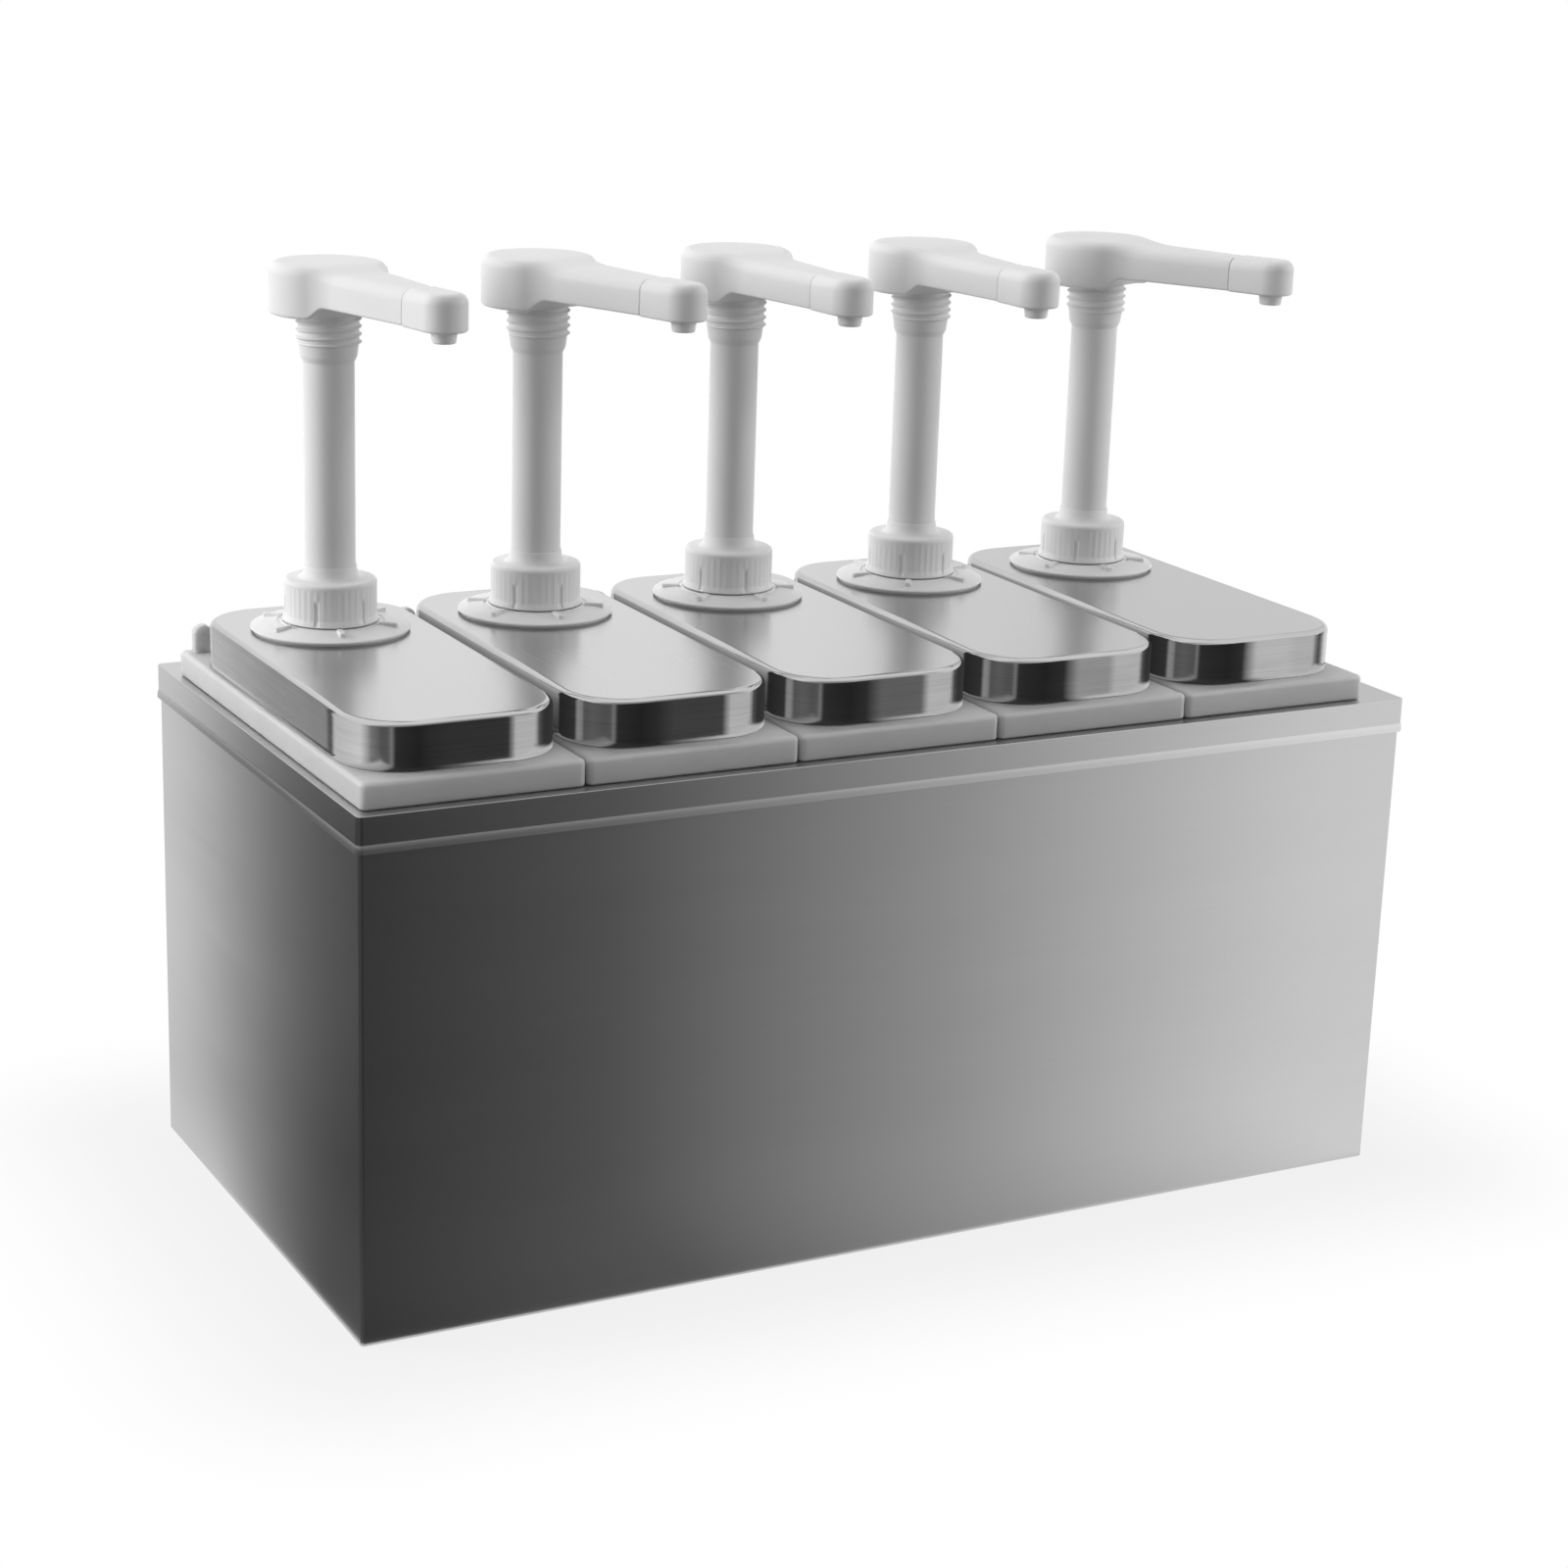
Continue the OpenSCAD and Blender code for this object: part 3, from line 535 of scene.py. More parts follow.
def flange_master():
    low, top = LID_TOP, FLANGE_TOP
    foot_r, edge_z = FLANGE_R - 1.4, LID_TOP + FLANGE_FOOT
    spigot_z = low - SPIGOT_L
    profile = [(FLANGE_BORE, spigot_z), (SPIGOT_R - 0.1, spigot_z), (SPIGOT_R, spigot_z + 0.2),
               (SPIGOT_R, low), (foot_r - 0.2, low), (foot_r, low + 0.2), (foot_r, edge_z)]
    edge_r = (FLANGE_EDGE - FLANGE_FOOT) / 2
    profile += arc(FLANGE_R - edge_r, edge_z + edge_r, edge_r, -90, 80, 9)
    profile += [(FLANGE_R - 1.6, low + FLANGE_EDGE + 0.2), (FLANGE_R - 4.0, low + 3.2),
                (30.0, low + 3.6), (26.0, top - 0.3), (24.2, top - 0.1), (23.9, top - 0.5),
                (22.4, top - 0.5), (22.0, top), (NECK_R, top), (NECK_R, NECK_TOP - 0.2),
                (NECK_R - 0.2, NECK_TOP), (FLANGE_BORE, NECK_TOP)]
    obj = lathe("flange_master", profile, [pump_plastic], 144)
    rib_in, rib_out, rib_w, rib_top = COLLAR_R + COLLAR_FLARE + 1.4, FLANGE_R - 4.0, 3.0, top + 1.0
    rib_x, rib_l, corner, edge = (rib_in + rib_out) / 2, rib_out - rib_in, 0.9, 0.8
    for k in range(FLANGE_RIBS):
        rings = [rect_ring(rib_x, 0, rib_l, rib_w, corner, low + 2.4, 4)]
        for u, v in arc(edge, -edge, edge, 180, 90, 5):
            rings.append(rect_ring(rib_x, 0, rib_l - 2 * u, rib_w - 2 * u, corner - u, rib_top + v, 4))
        rib = loft("rib", rings, [pump_plastic])
        rib.data.transform(Matrix.Rotation(math.radians(360 / FLANGE_RIBS * k), 4, "Z"))
        boolean(obj, rib, "UNION")
    tidy(obj)
    return obj


def collar_master():
    z0, z1 = COLLAR_Z, COLLAR_TOP
    foot_r = COLLAR_R + COLLAR_FLARE
    profile = [(CAVITY_R, z0), (foot_r - 0.4, z0)]
    profile += arc(foot_r - 0.4, z0 + 0.4, 0.4, -60, 0, 3)
    profile += [(foot_r - 0.1, z0 + 1.0), (COLLAR_R + 0.1, z0 + 2.6)]
    steps = 14
    profile += [(COLLAR_R, z0 + 3.0 + (z1 - 2.1 - z0 - 3.0) * k / steps) for k in range(steps + 1)]
    profile += arc(COLLAR_R - 1.8, z1 - 1.8, 1.8, 0, 90, 8)[1:]
    profile += [(15.0, z1), (14.2, z1 + 0.15), (13.4, z1 + 0.6), (12.7, z1 + 1.5), (12.2, z1 + 2.8)]
    profile += [(11.9, z1 + 4.4), (11.75, z1 + 5.6), (11.6, z1 + 5.9)]
    guide_r = RISER_R + SLIDE
    profile += [(guide_r, z1 + WIPER_H), (guide_r, z1 - 4.8), (CAVITY_R, z1 - 4.9)]
    step = 360.0 / NOTCHES

    def radius(r, z, t):
        if r < COLLAR_R - 0.8 or z > z1 - 1.9:
            return r
        rise = ramp_up(z, z0 + 0.8, 0.8) * ramp_up(z1 - 2.4, z, 1.2)
        flute = FLUTE_DEPTH * rise * (0.5 - 0.5 * math.cos(FLUTES * t)) ** 0.7
        angle = (math.degrees(t) + step / 2) % step - step / 2
        across = abs(math.radians(angle)) * r
        tall = ramp_up(z, z0 + 0.6, 0.5) * ramp_up(z0 + NOTCH_H, z, 0.8)
        notch = NOTCH_DEPTH * tall * ramp_up(1.2, across, 0.4)
        return r - max(flute, notch)

    return lathe("collar_master", profile, [pump_plastic], 420, radius, angle=50)


def riser_master():
    r = RISER_R
    shoulder = piston_high.z + 0.1
    band_low, band_top, root, crest, pitch = r + 1.2, r + 1.8, r + 2.1, 1.1, 3.4
    profile = [(RISER_BORE, riser_low.z), (STEM_R - 0.3, riser_low.z), (STEM_R, riser_low.z + 0.3),
               (STEM_R, shoulder), (r - 0.3, shoulder), (r, shoulder + 0.3), (r, shoulder + 30),
               (r, CONE_Z - 30), (r, CONE_Z - 0.6), (r - 0.12, CONE_Z - 0.3), (r, CONE_Z)]
    cone_h = BAND_Z - CONE_Z - 0.6
    profile += [(r + (band_low - r) * k / 3, CONE_Z + cone_h * k / 3) for k in range(1, 4)]
    profile += [(band_low + 0.1, BAND_Z), (band_top, THREAD_Z - 0.2)]
    steps = 96
    profile += [(root, THREAD_Z + (HUB_Z + 1.0 - THREAD_Z) * k / steps) for k in range(steps + 1)]
    profile += [(r, HUB_Z + 1.2), (r, riser_high.z - 0.3), (r - 0.3, riser_high.z),
                (RISER_BORE, riser_high.z)]

    def radius(rr, z, t):
        if rr < root - 0.01:
            return rr
        turn = (z - THREAD_Z) / pitch - t / (2 * math.pi)
        hump = smooth(1.0 - abs(turn % 1.0 - 0.5) / 0.33)
        return rr - 0.3 * (1 - ramp_up(z, THREAD_Z, 1.2)) + crest * hump * ramp_up(z, THREAD_Z, 1.0)

    return lathe("riser_master", profile, [pump_plastic], 96, radius, angle=60)


def spout_outline(count_line=16, count_fillet=22, count_hub=34):
    """Half plan of hub and spout from the seam to the hub's back.

    Each point has x, y, its outward normal, and its shares of hub and of rise."""
    fillet_r, w_root, y_root, w_seam = 28.0, 17.2, -8.67, TIP_R - 0.3
    taper = math.atan((w_root - w_seam) / (SEAM + y_root))
    along = Vector((math.sin(taper), math.cos(taper)))
    out = Vector((math.cos(taper), -math.sin(taper)))
    start = Vector((w_seam, -SEAM))
    offset = start + out * fillet_r
    dot = offset.dot(along)
    run = -dot - math.sqrt(dot * dot - offset.length_squared + (HUB_R + fillet_r) ** 2)
    centre = offset + along * run
    points = []

    def rise(y):
        return smooth((y + HUB_R + 10.0) / 18.0)

    for k in range(count_line):
        p = start + along * run * k / count_line
        points.append((p.x, p.y, out.x, out.y, 0.0, rise(p.y)))
    points[0] = (start.x, start.y, 1 / out.x, 0.0, 0.0, 0.0)
    a1 = math.degrees(math.atan2(-out.y, -out.x))
    a2 = math.degrees(math.atan2(-centre.y, -centre.x))
    for k, (x, y) in enumerate(arc(centre.x, centre.y, fillet_r, a1, a2, count_fillet)):
        normal = (centre - Vector((x, y))).normalized()
        points.append((x, y, normal.x, normal.y, smooth((k / count_fillet - 0.4) / 0.6), rise(y)))
    hub_start = math.degrees(math.atan2(centre.y, centre.x))
    for x, y in arc(0, 0, HUB_R, hub_start, 90, count_hub)[1:]:
        points.append((x, y, x / HUB_R, y / HUB_R, 1.0, rise(y)))
    return points


def chamfered(points, seam_y, step, z_mid, half_w, half_h, depth=0.45):
    """Adds a small chamfer at the seam end of a half outline."""
    x, y, z = points[0]
    edge = (x * (1 - depth / half_w), seam_y, z_mid + (z - z_mid) * (1 - depth / half_h))
    return [edge, (x, seam_y + step * depth, z)] + points[1:]


def head_master():
    outline = spout_outline()
    z_mid, half_h = (SPOUT_Z + SPOUT_TOP) / 2, (SPOUT_TOP - SPOUT_Z) / 2

    def ring(inset, height):
        """inset(hub) and height(hub, rise) give the offset and the level for each point's shares."""
        points = [(x - nx * inset(h), y - ny * inset(h), height(h, up))
                  for x, y, nx, ny, h, up in outline]
        points[-1] = (0.0, points[-1][1], points[-1][2])
        return chamfered(points, -SEAM, 1, z_mid, TIP_R - 0.3, half_h)

    def low(h, up):
        return SPOUT_Z + (HUB_Z - SPOUT_Z) * h

    def top(up):
        return SPOUT_TOP + (HUB_TOP - SPOUT_TOP) * up

    def foot(h):
        return 1.2 + 0.5 * h

    def edge(h):
        return 5.5 - 1.0 * h

    halves = [ring(lambda h: 6.0, low)]
    for u, v in arc(1, 1, 1, 270, 180, 5):
        halves.append(ring(lambda h: u * foot(h), lambda h, up: low(h, up) + v * foot(h)))
    halves.append(ring(lambda h: 0.0, lambda h, up: top(up) - edge(h) - 1.0))
    for u, v in arc(1, -1, 1, 180, 90, 10):
        halves.append(ring(lambda h: u * edge(h), lambda h, up: top(up) + v * edge(h)))
    halves.append(ring(lambda h: edge(h) + 1.6, lambda h, up: top(up) + 0.06))
    halves.append(ring(lambda h: edge(h) + 3.4, lambda h, up: top(up) + 0.08))
    head = mirrored_loft("head_master", halves, [pump_plastic])
    socket_r, socket_top = RISER_R + SLIDE, riser_high.z + SLIDE
    socket = [(0.0, HUB_Z - 4), (socket_r, HUB_Z - 4), (socket_r, socket_top), (0.0, socket_top)]
    boolean(head, lathe("socket", socket, [pump_plastic], 96, loop=False), "DIFFERENCE")
    tidy(head, 38)
    return head


def nozzle_master():
    start = -SEAM - SEAT
    z_mid, half_h = (TIP_Z + TIP_TOP) / 2, (TIP_TOP - TIP_Z) / 2
    outline = [(TIP_R, start - (REACH + start) * k / 12, 1.0, 0.0) for k in range(12)]
    outline += [(x, y, x / TIP_R, (y + REACH) / TIP_R) for x, y in arc(0, -REACH, TIP_R, 0, -90, 18)]

    def ring(inset, height):
        """inset(s) and height(s) give the offset and level at each share of the way to the end."""
        points = []
        for x, y, nx, ny in outline:
            s = smooth((start - y) / (REACH + start + TIP_R))
            points.append((x - nx * inset(s), y - ny * inset(s), height(s)))
        points[-1] = (0.0, points[-1][1], points[-1][2])
        return chamfered(points, start, -1, z_mid, TIP_R, half_h)

    def edge(s):
        return 5.6 - 1.2 * s

    halves = [ring(lambda s: 5.0, lambda s: TIP_Z)]
    for u, v in arc(1.2, 1.2, 1.2, 270, 180, 5):
        halves.append(ring(lambda s: u, lambda s: TIP_Z + v))
    halves.append(ring(lambda s: 0.0, lambda s: TIP_TOP - edge(s) - 0.5))
    for u, v in arc(1, -1, 1, 180, 90, 10):
        halves.append(ring(lambda s: u * edge(s), lambda s: TIP_TOP + v * edge(s)))
    halves.append(ring(lambda s: edge(s) + 1.8, lambda s: TIP_TOP + 0.02))
    tip = mirrored_loft("nozzle_master", halves, [pump_plastic])
    low = OUTLET_Z
    profile = [(0.0, low + 7.0), (3.5, low + 6.0), (3.5, low + 0.4), (3.9, low), (4.2, low)]
    profile += arc(4.2, low + 0.9, 0.9, -90, 0, 4)[1:]
    profile += [(5.5, low + 3.6), (5.7, low + 4.6), (6.2, low + 5.3), (6.2, low + 8.0), (0.0, low + 8.0)]
    outlet = lathe("outlet", profile, [pump_plastic], 64, loop=False)
    outlet.data.transform(Matrix.Translation((0, -REACH * MM, 0)))
    boolean(tip, outlet, "UNION")
    tidy(tip, 38)
    return tip


def barrel_master():
    top, socket = barrel_high.z, barrel_low.z
    low = socket + TUBE_HOLD
    floor = low + BARREL_FLOOR
    bore, waist_r, hold_r = BARREL_BORE, BARREL_R - 0.6, TUBE_R + SLIDE
    profile = [(bore, floor), (bore, top - 0.2), (bore + 0.2, top), (NECK_R - 0.2, top),
               (NECK_R, top - 0.2), (NECK_R, top - 1.9), (BARREL_R, top - 2.0), (BARREL_R, low + 6.0),
               (waist_r, low + 5.4), (waist_r, low + 1.0)]
    profile += arc(waist_r - 1.0, low + 1.0, 1.0, 0, -90, 3)[1:]
    profile += [(10.2, low), (9.6, low - 0.6), (9.6, socket + 0.6), (9.2, socket), (hold_r, socket),
                (hold_r, low), (VALVE_R, low), (VALVE_R, floor)]
    return lathe("barrel_master", profile, [barrel_plastic], 72)


def foot_master():
    top, low, shoulder = foot_high.z, foot_low.z, barrel_low.z - SEAT
    r, bore, stop_r = TUBE_R, TUBE_BORE_R, TUBE_R + 2.0
    profile = [(CAGE_R, top), (r - 0.2, top), (r, top - 0.2), (r, shoulder), (stop_r - 0.2, shoulder),
               (stop_r, shoulder - 0.2), (stop_r, shoulder - 2.6), (stop_r - 0.4, shoulder - 3.0),
               (r, shoulder - 3.0), (r, low + 0.4), (r - 0.3, low), (bore + 0.3, low), (bore, low + 0.3),
               (bore, top - 10.0), (CAGE_R, top - 8.0)]
    obj = lathe("foot_master", profile, [barrel_plastic], 64)
    rings = [[(u, y, low + v) for u, v in arc(0, 0, bore, 0, 360, 24)[:-1]] for y in (-12.0, 12.0)]
    boolean(obj, loft("notch", rings, [barrel_plastic]), "DIFFERENCE")
    tidy(obj)
    return obj


def spring_master():
    z0, z1 = spring_low.z + WIRE, spring_high.z - WIRE
    per, sides = 40, 12
    total = SPRING_CURLS * per
    verts, faces = [], []
    for k in range(total + 1):
        a = 2 * math.pi * k / per
        for s in range(sides):
            t = 2 * math.pi * s / sides
            rr = SPRING_R + WIRE * math.cos(t)
            z = z0 + (z1 - z0) * k / total + WIRE * math.sin(t)
            verts.append((rr * math.cos(a), rr * math.sin(a), z))
    for k in range(total):
        for s in range(sides):
            n = (s + 1) % sides
            faces.append((k * sides + s, k * sides + n, (k + 1) * sides + n, (k + 1) * sides + s))
    faces.append(tuple(range(sides)))
    faces.append(tuple(total * sides + s for s in range(sides - 1, -1, -1)))
    return new_object("spring_master", verts, faces, [wire_steel])


# Camera, at the photograph's place and angle, for a square frame
YAW, PITCH, ROLL = math.radians(28.2038), math.radians(16.2476), math.radians(-1.9107)
CAMERA_AT, FOCAL_PX, FRAME_PX, SENSOR = (-0.6970, -1.3040, 0.6135), 3306.4, 1600.0, 36.0
fwd = Vector((math.sin(YAW) * math.cos(PITCH), math.cos(YAW) * math.cos(PITCH), -math.sin(PITCH)))
right = Vector((math.cos(YAW), -math.sin(YAW), 0.0))
down = fwd.cross(right)
side_axis = right * math.cos(ROLL) + down * math.sin(ROLL)
down_axis = down * math.cos(ROLL) - right * math.sin(ROLL)
cam_data = bpy.data.cameras.new("camera")
cam_data.sensor_width = SENSOR
cam_data.sensor_fit = "HORIZONTAL"
cam_data.lens = FOCAL_PX * SENSOR / FRAME_PX
cam_data.clip_end = 50.0
camera = link("camera", cam_data)
camera.matrix_world = (Matrix.Translation(CAMERA_AT) @
                       Matrix((side_axis, -down_axis, -fwd)).transposed().to_4x4())
bpy.context.scene.camera = camera

build_cabinet()
for i in STATIONS:
    build_jar(i)
    build_lid(i)

# Builder, piece, body, node, slot and turns of each kind of pump piece
MASTERS = (
    (flange_master, "flange", "lid_unit", "mount_flange", "pump_plastic", FLANGE_TURNS),
    (collar_master, "screw_collar", "lid_unit", "collar", "pump_plastic", COLLAR_TURNS),
    (barrel_master, "pump_barrel", "lid_unit", "barrel", "pump_plastic", NO_TURNS),
    (foot_master, "suction_tube", "lid_unit", "suction_foot", "pump_plastic", NO_TURNS),
    (spring_master, "return_spring", "lid_unit", "spring", "spring_steel", NO_TURNS),
    (riser_master, "riser_tube", "plunger", "riser", "pump_plastic", HEAD_TURNS),
    (head_master, "pump_head", "plunger", "head", "pump_plastic", HEAD_TURNS),
    (nozzle_master, "spout_tip", "plunger", "nozzle", "pump_plastic", HEAD_TURNS))
for build, name, body, node, slot, turns in MASTERS:
    master = build()
    for i in STATIONS:
        axis = Vector((station_x(i), PUMP_Y, 0)) * MM
        turn = Matrix.Rotation(math.radians(turns[i - 1]), 4, "Z")
        piece = copy_at(master, "%s_%d" % (name, i), Matrix.Translation(axis) @ turn)
        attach(piece, "%s_%d" % (body, i))
        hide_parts("%s_%d" % (node, i))
        weigh(piece)
        if node == "spring":
            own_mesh(piece)
    drop(master)

# Pieces that are seen as the frame has them
for name, mat in [("base_plate", inner_steel)] + [("piston_%d" % i, barrel_plastic) for i in STATIONS]:
    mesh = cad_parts[name].data
    mesh.materials.clear()
    mesh.materials.append(mat)


# Floor, graded cards for the steel to mirror, and lights

def math_node(nodes, links, operation, *inputs):
    node = nodes.new("ShaderNodeMath")
    node.operation = operation
    for socket, value in zip(node.inputs, inputs):
        if isinstance(value, float):
            socket.default_value = value
        else:
            links.new(value, socket)
    return node.outputs[0]


def span(nodes, links, value, start, end, low, high, smoothly=False):
    node = nodes.new("ShaderNodeMapRange")
    if smoothly:
        node.interpolation_type = "SMOOTHSTEP"
    for socket, number in (("From Min", start), ("From Max", end), ("To Min", low), ("To Max", high)):
        node.inputs[socket].default_value = number
    links.new(value, node.inputs["Value"])
    return node.outputs["Result"]


def seen_share(nodes, links, bounced=0.0):
    """1 for what the camera sees directly or in metal and glass, 0 for what lights a matt surface,
    bounced for what lights a matt surface by way of metal."""
    path = nodes.new("ShaderNodeLightPath").outputs
    mirror = math_node(nodes, links, "MAXIMUM", path["Is Glossy Ray"], path["Is Transmission Ray"])
    direct = math_node(nodes, links, "LESS_THAN", path["Diffuse Depth"], 0.5)
    share = span(nodes, links, direct, 0.0, 1.0, bounced, 1.0)
    mirror = math_node(nodes, links, "MULTIPLY", mirror, share)
    return math_node(nodes, links, "MAXIMUM", path["Is Camera Ray"], mirror)


# Brightness of the room for matt surfaces, its change from front to back, and its share by way of metal
MATT_LEVEL, ROOM_TILT, BOUNCED = 0.40, 0.16, 0.6
X, Y, Z = 0, 1, 2


def card(name, corners, stops, axis, also=None, slant=None):
    """A card that only mirrors in the steel, with tones graded along one axis in metres, or the lighter
    of two such tones. A slant of (start, slope) adds the slope times X past the start, so that the tones
    run askew in plan."""
    mesh = bpy.data.meshes.new(name)
    mesh.from_pydata(corners, [], [(0, 1, 2, 3)])
    obj = link(name, mesh)
    mat = bpy.data.materials.new(name)
    mat.use_nodes = True
    nodes, links = mat.node_tree.nodes, mat.node_tree.links
    nodes.clear()
    out = nodes.new("ShaderNodeOutputMaterial")
    emission = nodes.new("ShaderNodeEmission")
    links.new(emission.outputs[0], out.inputs[0])
    coord = nodes.new("ShaderNodeTexCoord")
    split = nodes.new("ShaderNodeSeparateXYZ")
    links.new(coord.outputs["Object"], split.inputs[0])

    def graded(stops, axis):
        lo, hi = stops[0][0], stops[-1][0]
        place = split.outputs[axis]
        if slant:
            shift = math_node(nodes, links, "SUBTRACT", split.outputs[X], slant[0])
            place = math_node(nodes, links, "MULTIPLY_ADD", shift, slant[1], place)
        place = span(nodes, links, place, lo, hi, 0.0, 1.0)
        return ramp(nodes, links, place, [((p - lo) / (hi - lo), v) for p, v in stops]).outputs["Color"]

    tone = graded(stops, axis)
    if also:
        tone = math_node(nodes, links, "MAXIMUM", tone, graded(*also))
    links.new(tone, emission.inputs["Color"])
    power = span(nodes, links, seen_share(nodes, links), 0.0, 1.0, MATT_LEVEL, 1.0)
    links.new(power, emission.inputs["Strength"])
    mesh.materials.append(mat)
    obj.visible_camera = False
    obj.visible_diffuse = False
    obj.visible_shadow = False
    obj.visible_transmission = False


# Cards round the cabinet: (place, tone) stops, and the cards' extents in metres
FRONT = [(-0.37, 0.06), (-0.30, 0.015), (-0.10, 0.11), (0.08, 0.42), (0.30, 0.96), (0.45, 1.0)]
FRONT_LOW = [(-0.30, 0.03), (-0.10, 0.14), (0.08, 0.50), (0.26, 1.0), (0.45, 1.0)]
FRONT_HIGH = [(0.262, 0.12), (0.295, 0.19), (0.373, 0.37), (0.5, 0.85)]
LEFT = [(-0.12, 0.07), (-0.04, 0.04), (0.0, 0.005), (0.10, 0.03), (0.17, 0.32), (0.24, 0.95),
        (0.34, 1.0)]
LEFT_LOW = [(-0.12, 0.10), (0.0, 0.09), (0.10, 0.12), (0.17, 0.36), (0.24, 0.82), (0.34, 0.93)]
FRONT_RIGHT = [(-0.20, 0.12), (-0.07, 0.28), (0.08, 0.65), (0.25, 1.0)]
FRONT_OFF, FRONT_X0, FRONT_X1, FRONT_MID, FRONT_TOP = 0.1, -0.7, 1.2, 0.262, 0.5
LEFT_OFF, LEFT_Y0, LEFT_Y1, LEFT_TOP, LEFT_SLOPE = 0.06, -0.3, 0.8, 0.25, 3.0
FLOOR_GAP, WALL_GAP = 0.0004, 0.0003


def upright(x0, x1, y, z0, z1):
    return [(x0, y, z0), (x1, y, z0), (x1, y, z1), (x0, y, z1)]


def level(x0, x1, y0, y1, z):
    return [(x0, y0, z), (x1, y0, z), (x1, y1, z), (x0, y1, z)]


def sideways(x, y0, y1, z0, z1):
    return [(x, y0, z0), (x, y1, z0), (x, y1, z1), (x, y0, z1)]


front_y, left_x = -CAB_D / 2 * MM, -CAB_W / 2 * MM
near, beside = front_y - FRONT_OFF, left_x - LEFT_OFF
card("card_front", upright(FRONT_X0, FRONT_X1, near, 0.0, FRONT_MID), FRONT, X)
card("card_front_high", upright(FRONT_X0, FRONT_X1, near, FRONT_MID, FRONT_TOP), FRONT_HIGH, Z,
     (FRONT_RIGHT, X))
card("card_front_low", level(FRONT_X0, FRONT_X1, near, front_y - WALL_GAP, FLOOR_GAP), FRONT_LOW, X)
card("card_left", sideways(beside, LEFT_Y0, LEFT_Y1, 0.0, LEFT_TOP), LEFT, Y)
card("card_left_low", level(beside, left_x - WALL_GAP, LEFT_Y0, LEFT_Y1, FLOOR_GAP), LEFT_LOW, Y,
     slant=(beside, LEFT_SLOPE))

# Small cards round each lid for its polished skirt: ahead, a dark one with a thin light line at its left
# and light from its right; at both corners; and the same tones, lighter, on the rim below. Places are in
# metres from the lid's middle, or along Y for the sides.
LINE_AT = [-0.0375, -0.0385, -0.041, -0.042, -0.045]
MID_FROM = [-0.006, -0.004, -0.003, -0.001, -0.003]
MID_TONE = [0.05, 0.08, 0.19, 0.47, 0.80]
LIGHT_FROM = [0.023, 0.022, 0.020, 0.018, 0.018]
LIGHT, DARK, LINE_W, FADE = 0.74, 0.04, 0.003, 0.008
HALF, THIN, AHEAD, SIDE_END, FIRST_END, GAP_END = 0.05, 0.0002, 5.0, -0.085, 0.12, 0.09
FIRST_SIDE = [(-0.124, 0.15), (-0.115, 0.28), (-0.107, 0.95), (-0.083, 0.75), (-0.080, 0.12),
              (-0.077, 0.12), (-0.073, 0.36), (0.0, 0.45), (0.09, 0.78)]
LEFT_SIDE = [(-0.124, 0.13), (-0.113, 0.17), (-0.107, 0.14), (-0.105, 0.36), (-0.1025, 0.40),
             (-0.1005, 0.05), (-0.088, 0.03)]
RIGHT_SIDE = [(-0.124, 0.72), (-0.1225, 0.65), (-0.118, 0.12), (-0.112, 0.05), (-0.088, 0.05)]
LAST_SIDE = [(-0.124, 0.35), (-0.121, 0.12), (-0.118, 0.14), (-0.115, 0.35), (-0.110, 0.95),
             (-0.088, 1.0)]
GAP = [(0.247, 0.08), (0.257, 0.16), (0.265, 0.55)]
lid_y, card_top, apron_z = (lid_low.y - AHEAD) * MM, (LID_TOP + 2.0) * MM, (RIM_TOP + 0.15) * MM
for i in STATIONS:
    x, first, last = station_x(i) * MM, i == STATIONS[0], i == STATIONS[-1]
    x0, x1 = x - HALF, x + HALF
    line, start, mid, light = (values[i - 1] for values in (LINE_AT, MID_FROM, MID_TONE, LIGHT_FROM))
    ahead = [(-HALF, 0.13), (line - LINE_W, 0.14), (line, 0.30), (line + LINE_W, DARK), (-0.02, 0.025),
             (start - FADE, DARK), (start, mid), (light - 0.003, mid), (light + 0.001, LIGHT),
             (0.036, LIGHT), (HALF, 0.15 if last else LIGHT)]
    below = [(-HALF, 0.8 if first else 0.25), (line, 0.40), (line + LINE_W, 0.05), (start - FADE, DARK),
             (start + 0.004, min(LIGHT, 0.1 + 2 * mid)), (light, 0.85), (0.045, 0.80), (HALF, 0.15)]
    card("card_lid_%d" % i, upright(x0, x1, lid_y, apron_z, card_top), [(x + p, v) for p, v in ahead], X)
    card("card_apron_%d" % i, level(x0, x1, lid_y, SIDE_END, apron_z), [(x + p, v) for p, v in below], X)
    left_end = FIRST_END if first else SIDE_END
    card("card_left_of_%d" % i, sideways(x0 + THIN, lid_y, left_end, apron_z, card_top),
         FIRST_SIDE if first else LEFT_SIDE, Y)
    card("card_right_of_%d" % i, sideways(x1 - THIN, lid_y, SIDE_END, apron_z, card_top),
         LAST_SIDE if last else RIGHT_SIDE, Y)
    if not last:
        card("card_gap_%d" % i, sideways(x1, SIDE_END, GAP_END, GAP[0][0], LID_TOP * MM), GAP, Z)

# The backdrop that the lids' tops mirror is a little greyer towards the right
BEHIND = [(0.10, 1.0), (0.32, 0.97), (0.42, 0.88), (0.60, 0.80)]
card("card_behind", upright(-0.3, 1.5, 0.6, 0.0, 1.3), BEHIND, X)

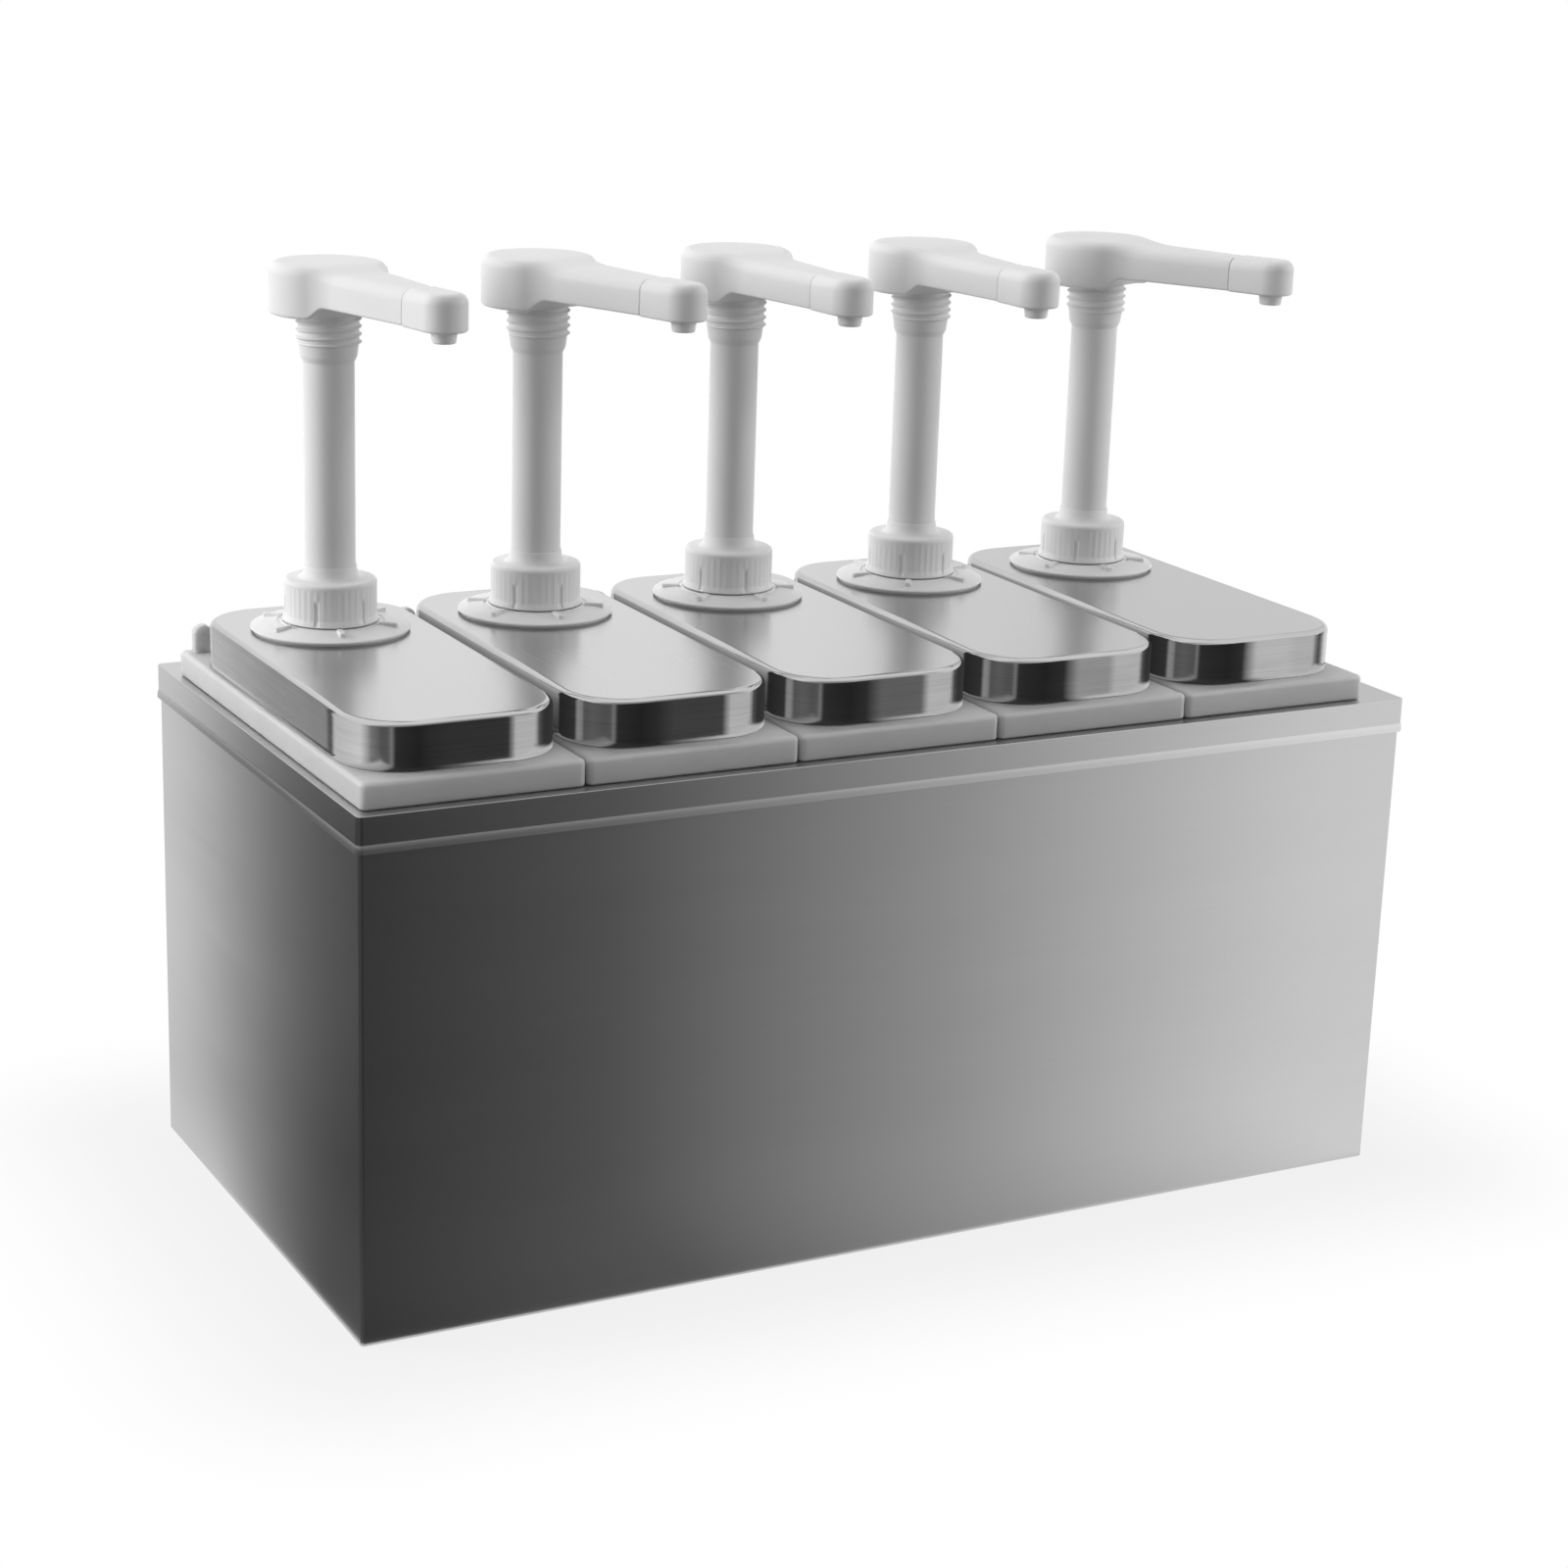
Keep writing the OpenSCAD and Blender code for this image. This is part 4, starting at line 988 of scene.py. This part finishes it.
# White floor that keeps the cabinet's shadow near its walls
FLOOR_HALF, FLOOR_Z, FLOOR_GREY, SHADOW_RUN, SHADOW_SHARE = 6, -0.0005, 0.34, 0.14, 0.85
floor_mesh = bpy.data.meshes.new("floor")
floor_mesh.from_pydata(level(-FLOOR_HALF, FLOOR_HALF, -FLOOR_HALF, FLOOR_HALF, FLOOR_Z), [], [(0, 1, 2, 3)])
floor = link("floor", floor_mesh)
floor_mat = bpy.data.materials.new("floor_white")
floor_mat.use_nodes = True
nodes, links = floor_mat.node_tree.nodes, floor_mat.node_tree.links
matt = nodes["Principled BSDF"]
matt.inputs["Base Color"].default_value = (FLOOR_GREY, FLOOR_GREY, FLOOR_GREY, 1)
matt.inputs["Roughness"].default_value = 0.9
matt.inputs["Specular IOR Level"].default_value = 0.0
glow = nodes.new("ShaderNodeEmission")
glow.inputs["Color"].default_value = (1, 1, 1, 1)
glow.inputs["Strength"].default_value = 1.0
coord = nodes.new("ShaderNodeTexCoord")
point = coord.outputs["Object"]
for operation, value in (("ABSOLUTE", None), ("SUBTRACT", (CAB_W / 2 * MM, CAB_D / 2 * MM, 0.0)),
                         ("MAXIMUM", (0.0, 0.0, 0.0)), ("LENGTH", None)):
    node = nodes.new("ShaderNodeVectorMath")
    node.operation = operation
    links.new(point, node.inputs[0])
    if value:
        node.inputs[1].default_value = value
    point = node.outputs["Value" if operation == "LENGTH" else "Vector"]
white = span(nodes, links, point, 0.0, SHADOW_RUN, SHADOW_SHARE, 1.0, True)
share = math_node(nodes, links, "MULTIPLY", seen_share(nodes, links), white)
blend = nodes.new("ShaderNodeMixShader")
links.new(share, blend.inputs[0])
links.new(matt.outputs[0], blend.inputs[1])
links.new(glow.outputs[0], blend.inputs[2])
links.new(blend.outputs[0], nodes["Material Output"].inputs[0])
floor_mesh.materials.append(floor_mat)

# The room lights matt surfaces from behind more than from the front
world = bpy.data.worlds.new("studio")
bpy.context.scene.world = world
world.use_nodes = True
nodes, links = world.node_tree.nodes, world.node_tree.links
back = nodes["Background"]
back.inputs["Color"].default_value = (1, 1, 1, 1)
coord = nodes.new("ShaderNodeTexCoord")
split = nodes.new("ShaderNodeSeparateXYZ")
links.new(coord.outputs["Generated"], split.inputs[0])
room = span(nodes, links, split.outputs[Y], -1.0, 1.0, MATT_LEVEL - ROOM_TILT, MATT_LEVEL + ROOM_TILT)
seen = seen_share(nodes, links, BOUNCED)
links.new(math_node(nodes, links, "MAXIMUM", seen, room), back.inputs["Strength"])


def softbox(name, place, target, size, power):
    data = bpy.data.lights.new(name, "AREA")
    data.shape = "RECTANGLE"
    data.size, data.size_y = size
    data.energy = power
    obj = link(name, data)
    obj.location = place
    obj.rotation_euler = (Vector(target) - Vector(place)).to_track_quat("-Z", "Y").to_euler()
    obj.visible_camera = False
    obj.visible_glossy = False


softbox("light_left", (-1.8, 0.62, 0.9), (0, 0, 0.3), (1.1, 1.1), 27.0)
softbox("light_right", (1.3, -0.6, 0.75), (0, 0, 0.3), (0.8, 0.8), 9.5)
softbox("light_top", (0.0, 0.9, 1.9), (0, 0, 0.25), (1.6, 1.2), 9.0)

bpy.context.scene.view_settings.view_transform = "Standard"
